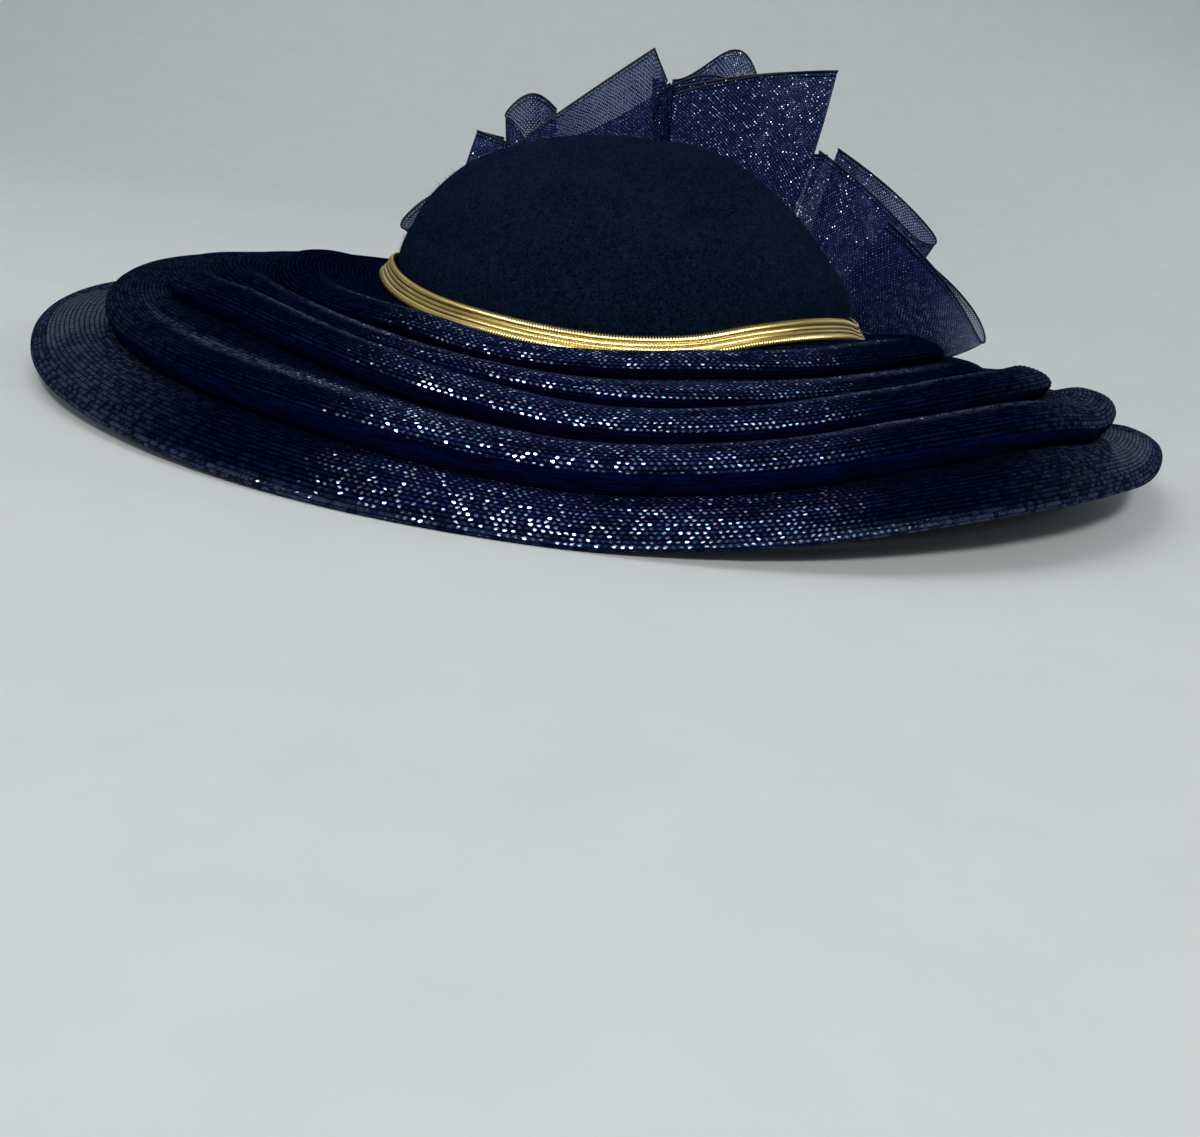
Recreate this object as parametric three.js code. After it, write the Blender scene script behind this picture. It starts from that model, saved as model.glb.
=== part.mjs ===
// Wide-brimmed dress hat for a day at the races.
// A domed felt crown runs out into a felt brim. Over that brim lies a wider one of fine braid,
// shaped into five rolled tiers. A gold braid covers the seam where crown and brim meet, and a
// row of net ribbon loops stands behind the crown.
// Millimetres, +Z up. The front of the hat looks towards -Y. The origin lies on the plane the
// brim edge rests on, under the middle of the brim. Angles turn from the front towards +X.
import * as THREE from 'three';

const TURN_STEPS = 50;

// Walls
const FELT_WALL = 2.0;
const BRAID_WALL = 1.2;
const RIBBON_WALL = 1.0;

// Heights above the resting plane at stations around the hat: the middle of the gold braid,
// the noses of the first four tiers and the edge of the brim.
const STATIONS = [
  { angle: -150, gold: 33.0, tier1: 27.5, tier2: 26.0, tier3: 22.5, tier4: 16.5, edge: 0.0 },
  { angle: -120, gold: 35.5, tier1: 29.1, tier2: 29.5, tier3: 27.5, tier4: 23.0, edge: 5.5 },
  { angle: -105, gold: 37.5, tier1: 33.5, tier2: 31.9, tier3: 28.5, tier4: 24.5, edge: 10.5 },
  { angle: -90, gold: 39.0, tier1: 37.0, tier2: 33.5, tier3: 30.5, tier4: 24.9, edge: 13.5 },
  { angle: -75, gold: 39.0, tier1: 35.3, tier2: 34.5, tier3: 31.5, tier4: 23.5, edge: 11.0 },
  { angle: -60, gold: 36.5, tier1: 33.5, tier2: 34.5, tier3: 32.3, tier4: 21.0, edge: 6.0 },
  { angle: -45, gold: 34.5, tier1: 33.5, tier2: 33.0, tier3: 33.3, tier4: 19.5, edge: 3.5 },
  { angle: -30, gold: 33.5, tier1: 33.3, tier2: 30.0, tier3: 29.5, tier4: 18.3, edge: 1.5 },
  { angle: -15, gold: 32.7, tier1: 30.5, tier2: 27.5, tier3: 24.5, tier4: 16.0, edge: 0.0 },
  { angle: 0, gold: 32.8, tier1: 31.5, tier2: 26.5, tier3: 21.5, tier4: 15.0, edge: 0.0 },
  { angle: 15, gold: 35.0, tier1: 34.3, tier2: 28.5, tier3: 24.7, tier4: 19.7, edge: 5.0 },
  { angle: 30, gold: 39.5, tier1: 35.7, tier2: 31.3, tier3: 30.5, tier4: 27.0, edge: 11.5 },
  { angle: 45, gold: 41.4, tier1: 37.8, tier2: 33.5, tier3: 34.5, tier4: 30.5, edge: 14.5 },
  { angle: 60, gold: 40.5, tier1: 38.1, tier2: 33.5, tier3: 34.5, tier4: 27.5, edge: 14.0 },
  { angle: 75, gold: 37.0, tier1: 35.5, tier2: 31.0, tier3: 31.5, tier4: 26.5, edge: 15.5 },
  { angle: 90, gold: 36.0, tier1: 33.5, tier2: 28.0, tier3: 24.5, tier4: 18.5, edge: 12.0 },
  { angle: 105, gold: 35.5, tier1: 28.5, tier2: 24.5, tier3: 19.5, tier4: 15.0, edge: 7.0 },
  { angle: 120, gold: 34.0, tier1: 26.5, tier2: 22.5, tier3: 17.5, tier4: 12.5, edge: 2.5 },
  { angle: 150, gold: 33.0, tier1: 26.5, tier2: 23.5, tier3: 18.5, tier4: 12.5, edge: 0.0 },
  { angle: 180, gold: 32.5, tier1: 27.5, tier2: 24.5, tier3: 19.5, tier4: 13.5, edge: 0.0 },
];

// Rolled tiers, from the crown outwards: half-width and sideways centre of the nose, how much
// longer than wide the ring is on each side, how far in and how high the crest lies from the
// nose, and how far the wall tucks back in and drops to the valley below the nose.
const TIERS = [
  { name: 'tier1', half: 116.9, centre: 1.2, longer: 11, crestIn: 12, rise: 2.6, tuck: 2.4, drop: 3.6 },
  { name: 'tier2', half: 133.9, centre: -0.9, longer: 10, crestIn: 9, rise: 2.4, tuck: 2.4, drop: 4.0 },
  { name: 'tier3', half: 152.8, centre: 1.2, longer: 9, crestIn: 11, rise: 3.6, tuck: 2.8, drop: 5.2 },
  { name: 'tier4', half: 172.6, centre: 2.8, longer: 8, crestIn: 11, rise: 4.6, tuck: 3.6, drop: 6.6 },
];
const EDGE = { half: 192.6, centre: 0, longer: 3, puff: 0.9 };

// Crown
const CROWN_HALF = 80.9;
const CROWN_LONGER = 12;
const CROWN_CENTRE = 4.4;
const CROWN_SWELL = 2.7;
const CROWN_SWELL_HEIGHT = 12;
const CROWN_LEAN = 4.5;
const CROWN_LEAN_HEIGHT = 16;
const CROWN_HEIGHT = 56;
const CROWN_FLATTER = 0.3;
const CROWN_FLATTER_RIGHT = 0.45;
const CROWN_ROWS = 9;
const SEAM_BELOW_GOLD = 2.8;
const CROWN_START_ABOVE_SEAM = 3.0;

// Felt brim under the braid
const FELT_UNDER_BRAID = 3.2;
const FELT_EDGE_HALF = 174.5;
const FELT_EDGE_ABOVE_PLANE = 2.4;
const FELT_EDGE_FOLLOWS_RIM = 0.75;

// Gold braid: four ridges on a flat back, lying on a slope between crown and brim
const GOLD_HALF = 84.5;
const GOLD_SLOPE = 55;
const GOLD_WIDTH = 7.0;
const GOLD_RIDGES = 4;
const GOLD_RIDGE = 0.95;
const GOLD_GROOVE = 0.35;
const GOLD_BACK = -0.4;

// Standing loops of ribbon. Each loop runs from its start to its tip and back to its end along
// the upper edge; the lower edge runs between the two foot points. Heights are above the
// resting plane. Ring says how far outside the inner ring the loop stands, open is half the
// distance between its two layers, blunt is the roundness of its tip. Arch is the rise of the
// upper edge between start and tip and between tip and end, peak above 1 moves it towards the
// tip. Bend above 1 keeps the sides upright before they run in to the foot. At the foot the
// layers lie closer by the foot share, and the ring is narrower unless the foot is wide.
const BOW_RING = { half: 132, back: 107.5 };
const FOOT_RING = { half: 117, back: 107.5 };
const FOOT_SHARE = 0.8;
const LOOPS = [
  { name: 'bow_loop_1', start: [207, 57], tip: [221, 43.5], end: [208, 61], arch: [2, 6],
    peak: 1, footStart: [206, 32.8], footTip: [219, 32.8], ring: 17.5, open: 8, blunt: 7,
    bend: 1 },
  { name: 'bow_loop_2', start: [206, 83.5], tip: [212, 87], end: [206, 85.5], arch: [0, 0],
    peak: 1, footStart: [207, 33.0], footTip: [223, 33.0], ring: 0, open: 4, blunt: 1.3,
    bend: 1 },
  { name: 'bow_loop_3', start: [197, 80], tip: [204, 94], end: [195, 100], arch: [-3, 8],
    peak: 1, footStart: [195, 33.0], footTip: [204, 33.0], ring: 17.5, open: 8, blunt: 7,
    bend: 1.3 },
  { name: 'bow_loop_4', start: [203, 87.5], tip: [180.5, 128.5], end: [177.5, 116.5],
    arch: [0, 0], peak: 1, footStart: [193, 33.0], footTip: [173.5, 32.9], ring: 0, open: 4,
    blunt: 1.3, bend: 1.3 },
  { name: 'bow_loop_5', start: [192, 90.5], tip: [161.8, 113.5], end: [177, 118.5],
    arch: [15, 18.3], peak: 1.6, footStart: [184, 33.0], footTip: [158.5, 32.3], ring: 17.5,
    open: 8, blunt: 7, bend: 1.2 },
  { name: 'bow_loop_6', start: [175.5, 112], tip: [146, 127.5], end: [176, 114.5],
    arch: [2.5, 2.5], peak: 1, footStart: [169, 32.6], footTip: [153, 32.1], ring: 0, open: 4,
    blunt: 1.3, bend: 2.4 },
  { name: 'bow_loop_7', start: [149, 96.5], tip: [126, 65.5], end: [148.5, 98.5], arch: [1, 1.5],
    peak: 1, footStart: [149, 32.1], footTip: [139, 31.9], ring: 18, open: 8, blunt: 7,
    bend: 2.6 },
  { name: 'bow_loop_8', start: [128, 72.5], tip: [92, 36.5], end: [125, 63], arch: [0, 0],
    peak: 1, footStart: [141, 30.3], footTip: [107, 27.5], ring: 0, open: 4, blunt: 1.3,
    bend: 1, wideFoot: true },
];
const RIBBON_END = { upper: [[167, 92], [146.5, 95]], lower: [[166, 32.6], [152.5, 32.1]],
  ring: 6.1, teeth: 5, toothDepth: 0.9 };
const LOOP_STEPS = 7;
const BOW_BASE = {
  from: 136, to: 216, steps: 16, inner: { half: 101, back: 104.5 }, outer: { half: 120, back: 127 },
  aboveNose: 3.4, wall: 1.2,
};

const radians = (degrees) => (degrees * Math.PI) / 180;
const mix = (from, to, share) => from + (to - from) * share;

function smoothStep(value) {
  const held = Math.min(1, Math.max(0, value));
  return held * held * (3 - 2 * held);
}

// Smooth closed curve through one column of the stations.
function heightAt(column, degrees) {
  const count = STATIONS.length;
  const turn = (((degrees + 150) % 360) + 360) % 360 - 150;
  let low = 0;
  while (low < count - 1 && STATIONS[low + 1].angle <= turn) low += 1;
  const station = (index) => {
    const wrapped = STATIONS[((index % count) + count) % count];
    return { angle: wrapped.angle + 360 * Math.floor(index / count), value: wrapped[column] };
  };
  const before = station(low - 1);
  const here = station(low);
  const next = station(low + 1);
  const after = station(low + 2);
  const span = next.angle - here.angle;
  const share = (turn - here.angle) / span;
  const slopeHere = ((next.value - before.value) / (next.angle - before.angle)) * span;
  const slopeNext = ((after.value - here.value) / (after.angle - here.angle)) * span;
  const square = share * share;
  const cube = square * share;
  return (2 * cube - 3 * square + 1) * here.value + (cube - 2 * square + share) * slopeHere
    + (3 * square - 2 * cube) * next.value + (cube - square) * slopeNext;
}

const edgeHeight = (degrees) => Math.max(0, heightAt('edge', degrees));
const seamHeight = (degrees) => heightAt('gold', degrees) - SEAM_BELOW_GOLD;

function onRing(degrees, half, longer, centre, height) {
  const turn = radians(degrees);
  return new THREE.Vector3(
    centre + half * Math.sin(turn), -(half + longer) * Math.cos(turn), height,
  );
}

// Mesh from points and triangles, given its name and its material.
function solid(name, points, triangles, material) {
  const geometry = new THREE.BufferGeometry();
  geometry.setAttribute('position', new THREE.Float32BufferAttribute(
    points.flatMap((point) => [point.x, point.y, point.z]), 3,
  ));
  geometry.setIndex(triangles);
  geometry.computeVertexNormals();
  const mesh = new THREE.Mesh(geometry, material);
  mesh.name = name;
  return mesh;
}

// Closed wall from a grid of rows. The rows run inwards to outwards, each row runs around the
// hat or along a strip; the wall is laid on the far side of the face by the given thickness.
// Ring rows close on themselves, and a pole closes the first row where one is given.
function wall(name, rows, thickness, material, { ring, pole, edgeDrop }) {
  const rowCount = rows.length;
  const width = rows[0].length;
  const at = (row, column) => rows[row][ring ? (column + width) % width : column];
  const face = [];
  const back = [];
  for (let row = 0; row < rowCount; row += 1) {
    for (let column = 0; column < width; column += 1) {
      const left = ring || column > 0 ? at(row, column - 1) : at(row, column);
      const right = ring || column < width - 1 ? at(row, column + 1) : at(row, column);
      const inner = row > 0 ? rows[row - 1][column] : (pole || rows[row][column]);
      const outer = rows[Math.min(row + 1, rowCount - 1)][column];
      const across = new THREE.Vector3().subVectors(right, left);
      const outward = new THREE.Vector3().subVectors(outer, inner);
      const normal = new THREE.Vector3().crossVectors(outward, across).normalize();
      if (edgeDrop && row === rowCount - 1) normal.setZ(0).normalize();
      face.push(rows[row][column]);
      back.push(rows[row][column].clone().addScaledVector(normal, -thickness));
    }
  }
  const points = [...face, ...back];
  const shift = face.length;
  const triangles = [];
  const quad = (a, b, c, d) => triangles.push(a, b, c, a, c, d);
  const columns = ring ? width : width - 1;
  const index = (row, column) => row * width + (column % width);
  for (let row = 0; row < rowCount - 1; row += 1) {
    for (let column = 0; column < columns; column += 1) {
      const a = index(row, column);
      const b = index(row + 1, column);
      const c = index(row + 1, column + 1);
      const d = index(row, column + 1);
      quad(a, b, c, d);
      quad(shift + d, shift + c, shift + b, shift + a);
    }
  }
  for (let column = 0; column < columns; column += 1) {
    const last = index(rowCount - 1, column);
    const lastNext = index(rowCount - 1, column + 1);
    quad(last, shift + last, shift + lastNext, lastNext);
    const first = index(0, column);
    const firstNext = index(0, column + 1);
    if (!pole) quad(firstNext, shift + firstNext, shift + first, first);
  }
  if (!ring) {
    for (let row = 0; row < rowCount - 1; row += 1) {
      const a = index(row, 0);
      const b = index(row + 1, 0);
      quad(a, shift + a, shift + b, b);
      const c = index(row, width - 1);
      const d = index(row + 1, width - 1);
      quad(d, shift + d, shift + c, c);
    }
  }
  if (pole) {
    const top = points.length;
    points.push(pole, pole.clone().setZ(pole.z - thickness));
    for (let column = 0; column < columns; column += 1) {
      triangles.push(top, index(0, column), index(0, column + 1));
      triangles.push(top + 1, shift + index(0, column + 1), shift + index(0, column));
    }
  }
  return solid(name, points, triangles, material);
}

function ringRow(pointAt) {
  return Array.from({ length: TURN_STEPS }, (_, step) => pointAt((360 * step) / TURN_STEPS));
}

// Valley below the nose of a tier.
function valleyRow(tier, below = 0) {
  return (degrees) => onRing(degrees, tier.half - tier.tuck, tier.longer, tier.centre,
    heightAt(tier.name, degrees) - tier.drop - below);
}

// Rows of one tier outside the valley it rises from.
function tierRows(tier, valleyBefore) {
  const rise = (inward, up) => (degrees) => onRing(degrees, tier.half - inward, tier.longer,
    tier.centre, heightAt(tier.name, degrees) + up);
  const crest = rise(tier.crestIn, tier.rise);
  const slope = (degrees) => valleyBefore(degrees).lerp(crest(degrees), 0.5)
    .add(new THREE.Vector3(0, 0, 0.12 * tier.rise));
  return [slope, crest, rise(0.3 * tier.crestIn, 0.72 * tier.rise), rise(0, 0),
    rise(0.3 * tier.tuck, -0.55 * tier.drop), valleyRow(tier)];
}

function braidBrim(material) {
  const start = (degrees) => onRing(degrees, CROWN_HALF + 4.6, CROWN_LONGER, CROWN_CENTRE,
    seamHeight(degrees) - 1.0);
  const rows = [start];
  for (const tier of TIERS) rows.push(...tierRows(tier, rows.at(-1)));
  const last = TIERS.at(-1);
  for (const share of [0.22, 0.5, 0.78, 1]) {
    rows.push((degrees) => {
      const valley = heightAt(last.name, degrees) - last.drop;
      const rim = edgeHeight(degrees);
      return onRing(degrees, mix(last.half - last.tuck, EDGE.half, share), EDGE.longer,
        mix(last.centre, EDGE.centre, share),
        rim + (valley - rim) * (1 - share ** 3) + EDGE.puff * Math.sin(Math.PI * share));
    });
  }
  return wall('braid_brim', rows.map(ringRow), BRAID_WALL, material,
    { ring: true, edgeDrop: true });
}

// Point on the crown: level is the share of the way in from the seam to the top.
function crownPoint(degrees, level, seamMean) {
  const inward = Math.cos((Math.PI / 2) * level);
  const flatter = CROWN_FLATTER + CROWN_FLATTER_RIGHT * Math.sin(radians(degrees));
  const fullness = 2 - flatter * inward;
  const up = CROWN_HEIGHT * (1 - inward ** fullness) ** (1 / fullness);
  const swell = CROWN_SWELL * smoothStep(up / CROWN_SWELL_HEIGHT);
  const lean = CROWN_LEAN * smoothStep(up / CROWN_LEAN_HEIGHT);
  const base = mix(seamMean, seamHeight(degrees), inward) + CROWN_START_ABOVE_SEAM;
  const turn = radians(degrees);
  return new THREE.Vector3(
    CROWN_CENTRE + lean + (CROWN_HALF + swell) * inward * Math.sin(turn),
    -(CROWN_HALF + swell + CROWN_LONGER) * inward * Math.cos(turn), base + up,
  );
}

function feltBody(material) {
  const seamMean = ringRow(seamHeight).reduce((sum, height) => sum + height, 0) / TURN_STEPS;
  const rows = [];
  for (let row = CROWN_ROWS - 1; row >= 0; row -= 1) {
    rows.push((degrees) => crownPoint(degrees, row / CROWN_ROWS, seamMean));
  }
  const seamRow = (out, below) => (degrees) => onRing(degrees, CROWN_HALF + out, CROWN_LONGER,
    CROWN_CENTRE, seamHeight(degrees) - below);
  rows.push(seamRow(0.7, -0.4), seamRow(2.6, 2.2), seamRow(8, 4.4));
  for (const tier of TIERS) rows.push(valleyRow(tier, FELT_UNDER_BRAID));
  const last = TIERS.at(-1);
  rows.push((degrees) => onRing(degrees, FELT_EDGE_HALF, last.longer, last.centre, Math.min(
    FELT_EDGE_FOLLOWS_RIM * edgeHeight(degrees) + FELT_EDGE_ABOVE_PLANE,
    heightAt(last.name, degrees) - last.drop - FELT_UNDER_BRAID + 0.2,
  )));
  const top = new THREE.Vector3(CROWN_CENTRE + CROWN_LEAN, 0,
    seamMean + CROWN_START_ABOVE_SEAM + CROWN_HEIGHT);
  return wall('felt_body', rows.map(ringRow), FELT_WALL, material, { ring: true, pole: top });
}

// Ring of one outline carried around the seam.
function goldBraid(material) {
  const pitch = GOLD_WIDTH / GOLD_RIDGES;
  const outline = [];
  for (let ridge = 0; ridge < GOLD_RIDGES; ridge += 1) {
    const from = -GOLD_WIDTH / 2 + ridge * pitch;
    outline.push([from, ridge === 0 ? 0.2 : GOLD_GROOVE], [from + pitch / 2, GOLD_RIDGE]);
  }
  outline.push([GOLD_WIDTH / 2, 0.2], [GOLD_WIDTH / 2, GOLD_BACK], [-GOLD_WIDTH / 2, GOLD_BACK]);
  const slope = radians(GOLD_SLOPE);
  const rows = outline.map(([along, out]) => ringRow((degrees) => onRing(
    degrees, GOLD_HALF + along * Math.cos(slope) + out * Math.sin(slope), CROWN_LONGER,
    CROWN_CENTRE, heightAt('gold', degrees) - along * Math.sin(slope) + out * Math.cos(slope),
  )));
  const points = rows.flat();
  const triangles = [];
  const index = (row, column) => (row % rows.length) * TURN_STEPS + (column % TURN_STEPS);
  for (let row = 0; row < rows.length; row += 1) {
    for (let column = 0; column < TURN_STEPS; column += 1) {
      const a = index(row, column);
      const b = index(row + 1, column);
      const c = index(row + 1, column + 1);
      const d = index(row, column + 1);
      triangles.push(a, b, c, a, c, d);
    }
  }
  return solid('gold_braid', points, triangles, material);
}

// Point on a ring of the bow, moved out from it by the given distance.
function onBowRing(ring, degrees, height, out) {
  const turn = radians(degrees);
  return new THREE.Vector3(CROWN_CENTRE + (ring.half + out) * Math.sin(turn),
    -(ring.back + out) * Math.cos(turn), height);
}

// One loop: out along the layer next to the crown, round the tip, back along the outer layer.
function bowLoop(loop, material) {
  const footRing = loop.wideFoot ? BOW_RING : FOOT_RING;
  const row = (down) => Array.from({ length: 2 * LOOP_STEPS + 1 }, (_, index) => {
    const step = index - LOOP_STEPS;
    const reach = Math.sin((Math.PI / 2) * (1 - Math.abs(step) / LOOP_STEPS));
    const [from, arch] = step < 0 ? [loop.start, loop.arch[0]] : [loop.end, loop.arch[1]];
    const apart = Math.sign(step) * loop.open
      * Math.sqrt(Math.max(0, 1 - reach ** (2 * loop.blunt)));
    const foot = [0, 1].map((part) => mix(loop.footStart[part], loop.footTip[part], reach));
    const degrees = mix(mix(from[0], loop.tip[0], reach), foot[0], down ** loop.bend);
    const top = mix(from[1], loop.tip[1], reach) + arch * Math.sin(Math.PI * reach ** loop.peak);
    const ring = { half: mix(BOW_RING.half, footRing.half, down), back: BOW_RING.back };
    return onBowRing(ring, degrees, mix(top, foot[1], down),
      (loop.ring + apart) * mix(1, FOOT_SHARE, down));
  });
  const rows = [0, 0.5, 1].map(row);
  const towardsRight = loop.tip[0] < loop.start[0];
  return wall(loop.name, towardsRight ? rows.reverse() : rows, RIBBON_WALL, material,
    { ring: false });
}

// Loose end of the ribbon with a pinked edge.
function ribbonEnd(material) {
  const { upper, lower, ring, teeth, toothDepth } = RIBBON_END;
  const rows = [];
  const rowCount = 2 * teeth;
  for (let row = 0; row <= rowCount; row += 1) {
    const down = row / rowCount;
    const tooth = row % 2 === 0 ? 0 : toothDepth;
    rows.push([0, 1 / 3, 2 / 3, 1].map((along) => {
      const pinked = along === 1 ? tooth : 0;
      const top = onBowRing(BOW_RING, mix(upper[0][0], upper[1][0], along) + pinked,
        mix(upper[0][1], upper[1][1], along), ring);
      const foot = onBowRing(FOOT_RING, mix(lower[0][0], lower[1][0], along) + pinked,
        mix(lower[0][1], lower[1][1], along), FOOT_SHARE * ring);
      return top.lerp(foot, down);
    }));
  }
  return wall('ribbon_end', rows, RIBBON_WALL, material, { ring: false });
}

// Strip the loops are sewn to, lying on the first tier behind the crown.
function bowBase(material) {
  const rows = [BOW_BASE.inner, BOW_BASE.outer].map(
    (ring) => Array.from({ length: BOW_BASE.steps + 1 }, (_, step) => {
      const degrees = mix(BOW_BASE.from, BOW_BASE.to, step / BOW_BASE.steps);
      return onBowRing(ring, degrees,
        heightAt('tier1', degrees) + BOW_BASE.aboveNose + BOW_BASE.wall, 0);
    }),
  );
  return wall('bow_base', rows, BOW_BASE.wall, material, { ring: false });
}

const felt = new THREE.MeshStandardMaterial({ color: 0x0b1730, roughness: 0.95, metalness: 0 });
const braid = new THREE.MeshStandardMaterial({ color: 0x10173f, roughness: 0.45, metalness: 0 });
const gold = new THREE.MeshStandardMaterial({ color: 0xc8a44a, roughness: 0.35, metalness: 0.9 });
const net = new THREE.MeshStandardMaterial({ color: 0x16205a, roughness: 0.5, metalness: 0 });

const hat = new THREE.Group();
hat.name = 'dress_hat';
hat.add(feltBody(felt), braidBrim(braid.clone()), goldBraid(gold), bowBase(net.clone()));
for (const loop of LOOPS) hat.add(bowLoop(loop, net.clone()));
hat.add(ribbonEnd(net.clone()));

export default hat;
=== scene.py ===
"""Wide-brimmed dress hat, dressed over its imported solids.

A wool felt body, a brim of fine see-through braid rolled into tiers, a gold braid round the
crown and a row of stiff net ribbon loops behind it. Shapes are worked out in millimetres, in
the solids' own frame: +Z up, the front towards -Y, angles from the front towards +X.
"""

import bpy
import numpy as np
from bpy.props import FloatProperty, FloatVectorProperty, IntProperty, PointerProperty
from bpy.types import Operator, Panel, PropertyGroup
from mathutils import Matrix


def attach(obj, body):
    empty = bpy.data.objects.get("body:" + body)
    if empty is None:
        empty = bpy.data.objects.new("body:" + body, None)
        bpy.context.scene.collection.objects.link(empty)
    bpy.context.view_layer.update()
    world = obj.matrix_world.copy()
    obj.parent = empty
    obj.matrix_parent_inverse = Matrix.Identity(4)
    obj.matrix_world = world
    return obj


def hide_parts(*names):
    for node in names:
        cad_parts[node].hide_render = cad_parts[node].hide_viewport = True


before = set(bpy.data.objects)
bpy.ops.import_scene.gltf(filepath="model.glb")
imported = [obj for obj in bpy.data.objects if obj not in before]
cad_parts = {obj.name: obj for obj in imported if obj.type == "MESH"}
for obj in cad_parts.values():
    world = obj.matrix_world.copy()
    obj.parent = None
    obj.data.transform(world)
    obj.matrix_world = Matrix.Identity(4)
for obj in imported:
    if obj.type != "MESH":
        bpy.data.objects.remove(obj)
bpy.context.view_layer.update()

bl_info = {
    "name": "Tiered dress hat",
    "version": (1, 0, 0),
    "blender": (4, 5, 0),
    "location": "3D View > Sidebar > Hat",
    "description": "Dresses the solids of a wide-brimmed hat with felt, braid, gold and net",
    "category": "Object",
}

# Heights above the resting plane at stations around the hat.
STATION_COLUMNS = ("angle", "gold", "tier1", "tier2", "tier3", "tier4", "edge")
STATIONS = np.array([
    (-150, 33.0, 27.5, 26.0, 22.5, 16.5, 0.0),
    (-120, 35.5, 29.1, 29.5, 27.5, 23.0, 5.5),
    (-105, 37.5, 33.5, 31.9, 28.5, 24.5, 10.5),
    (-90, 39.0, 37.0, 33.5, 30.5, 24.9, 13.5),
    (-75, 39.0, 35.3, 34.5, 31.5, 23.5, 11.0),
    (-60, 36.5, 33.5, 34.5, 32.3, 21.0, 6.0),
    (-45, 34.5, 33.5, 33.0, 33.3, 19.5, 3.5),
    (-30, 33.5, 33.3, 30.0, 29.5, 18.3, 1.5),
    (-15, 32.7, 30.5, 27.5, 24.5, 16.0, 0.0),
    (0, 32.8, 31.5, 26.5, 21.5, 15.0, 0.0),
    (15, 35.0, 34.3, 28.5, 24.7, 19.7, 5.0),
    (30, 39.5, 35.7, 31.3, 30.5, 27.0, 11.5),
    (45, 41.4, 37.8, 33.5, 34.5, 30.5, 14.5),
    (60, 40.5, 38.1, 33.5, 34.5, 27.5, 14.0),
    (75, 37.0, 35.5, 31.0, 31.5, 26.5, 15.5),
    (90, 36.0, 33.5, 28.0, 24.5, 18.5, 12.0),
    (105, 35.5, 28.5, 24.5, 19.5, 15.0, 7.0),
    (120, 34.0, 26.5, 22.5, 17.5, 12.5, 2.5),
    (150, 33.0, 26.5, 23.5, 18.5, 12.5, 0.0),
    (180, 32.5, 27.5, 24.5, 19.5, 13.5, 0.0),
])

# Noses of the rolled tiers, and how crest and valley lie from them.
TIER_COLUMNS = ("half", "centre", "longer", "crest_in", "rise", "tuck", "drop")
TIERS = {
    "tier1": (116.9, 1.2, 11, 12, 2.6, 2.4, 3.6),
    "tier2": (133.9, -0.9, 10, 9, 2.4, 2.4, 4.0),
    "tier3": (152.8, 1.2, 9, 11, 3.6, 2.8, 5.2),
    "tier4": (172.6, 2.8, 8, 11, 4.6, 3.6, 6.6),
}
EDGE_HALF, EDGE_LONGER, EDGE_PUFF = 192.6, 3.0, 0.9

# The crown's oval and dome: how it swells and leans above its seam, and how much flatter than
# an ellipse it is, in all and towards the right.
CROWN_HALF, CROWN_LONGER, CROWN_CENTRE = 80.9, 12.0, 4.4
CROWN_SWELL, CROWN_SWELL_HEIGHT = 2.7, 12.0
CROWN_LEAN, CROWN_LEAN_HEIGHT = 4.5, 16.0
CROWN_HEIGHT = 56.0
CROWN_FLATTER, CROWN_FLATTER_RIGHT = 0.3, 0.45
SEAM_BELOW_GOLD, CROWN_START_ABOVE_SEAM = 2.8, 3.0

# The felt's seam rows, each how far outside the crown and how far below the seam, its clearance
# under the braid, its own edge, and how it is meshed and dented.
FELT_SEAM_ROWS = ((0.7, -0.4), (2.6, 2.2), (8, 4.4))
FELT_UNDER_BRAID, FELT_EDGE_CLOSER = 3.2, 0.2
FELT_EDGE_HALF, FELT_EDGE_FOLLOWS_RIM, FELT_EDGE_ABOVE_PLANE = 174.5, 0.75, 2.4
FELT_COLUMNS, FELT_CROWN_ROWS, FELT_SPAN_STEPS = 180, 18, 4
DENT_DEPTH, LIP_BULGE = 0.28, 0.5
FIBRES_DOWN_TO, FIBRE_HALF_WIDTH = 0.66, 0.035

# The braid: where it starts outside and below the seam, how its slope is lifted, the shoulder
# and side of a rolled tier as shares of its crest and its valley, and the outermost tier's rows
# as shares of its way out and lifts over the felt.
BRAID_START_OUT, BRAID_START_BELOW_SEAM = 4.6, 1.0
SLOPE_LIFT, SHOULDER, SIDE = 0.12, (0.3, 0.72), (0.3, 0.55)
FALL_ROWS = ((0.22, 0.1), (0.5, 0.3), (0.78, 0.6), (0.95, 0.85), (1.0, 0.6), (0.985, 0.12),
             (0.93, 0.05), (0.82, 0.0))
CREST_ROW, EDGE_ROW = 2, 5
BRAID_SPAN_STEPS, RIB_STEPS, RIB_ROUNDNESS = 10, 4, 0.7

# The gold braid: its ring, the slope of its face and its width, the widths of its cords, how a
# cord is rounded, and the purls along both edges.
GOLD_HALF, GOLD_SLOPE, GOLD_WIDTH = 84.5, 55.0, 7.0
GOLD_CORDS = (2.1, 1.4, 1.4, 2.1)
CORD_STEPS, CORD_LIFT, CORD_ROUNDNESS, GOLD_BACK = 7, 0.15, 0.82, 0.4
PURL_REACH, PURL_WIDTH, PURL_DEPTH, PURL_LIFT = 1.3, 0.9, 0.38, 0.07

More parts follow.
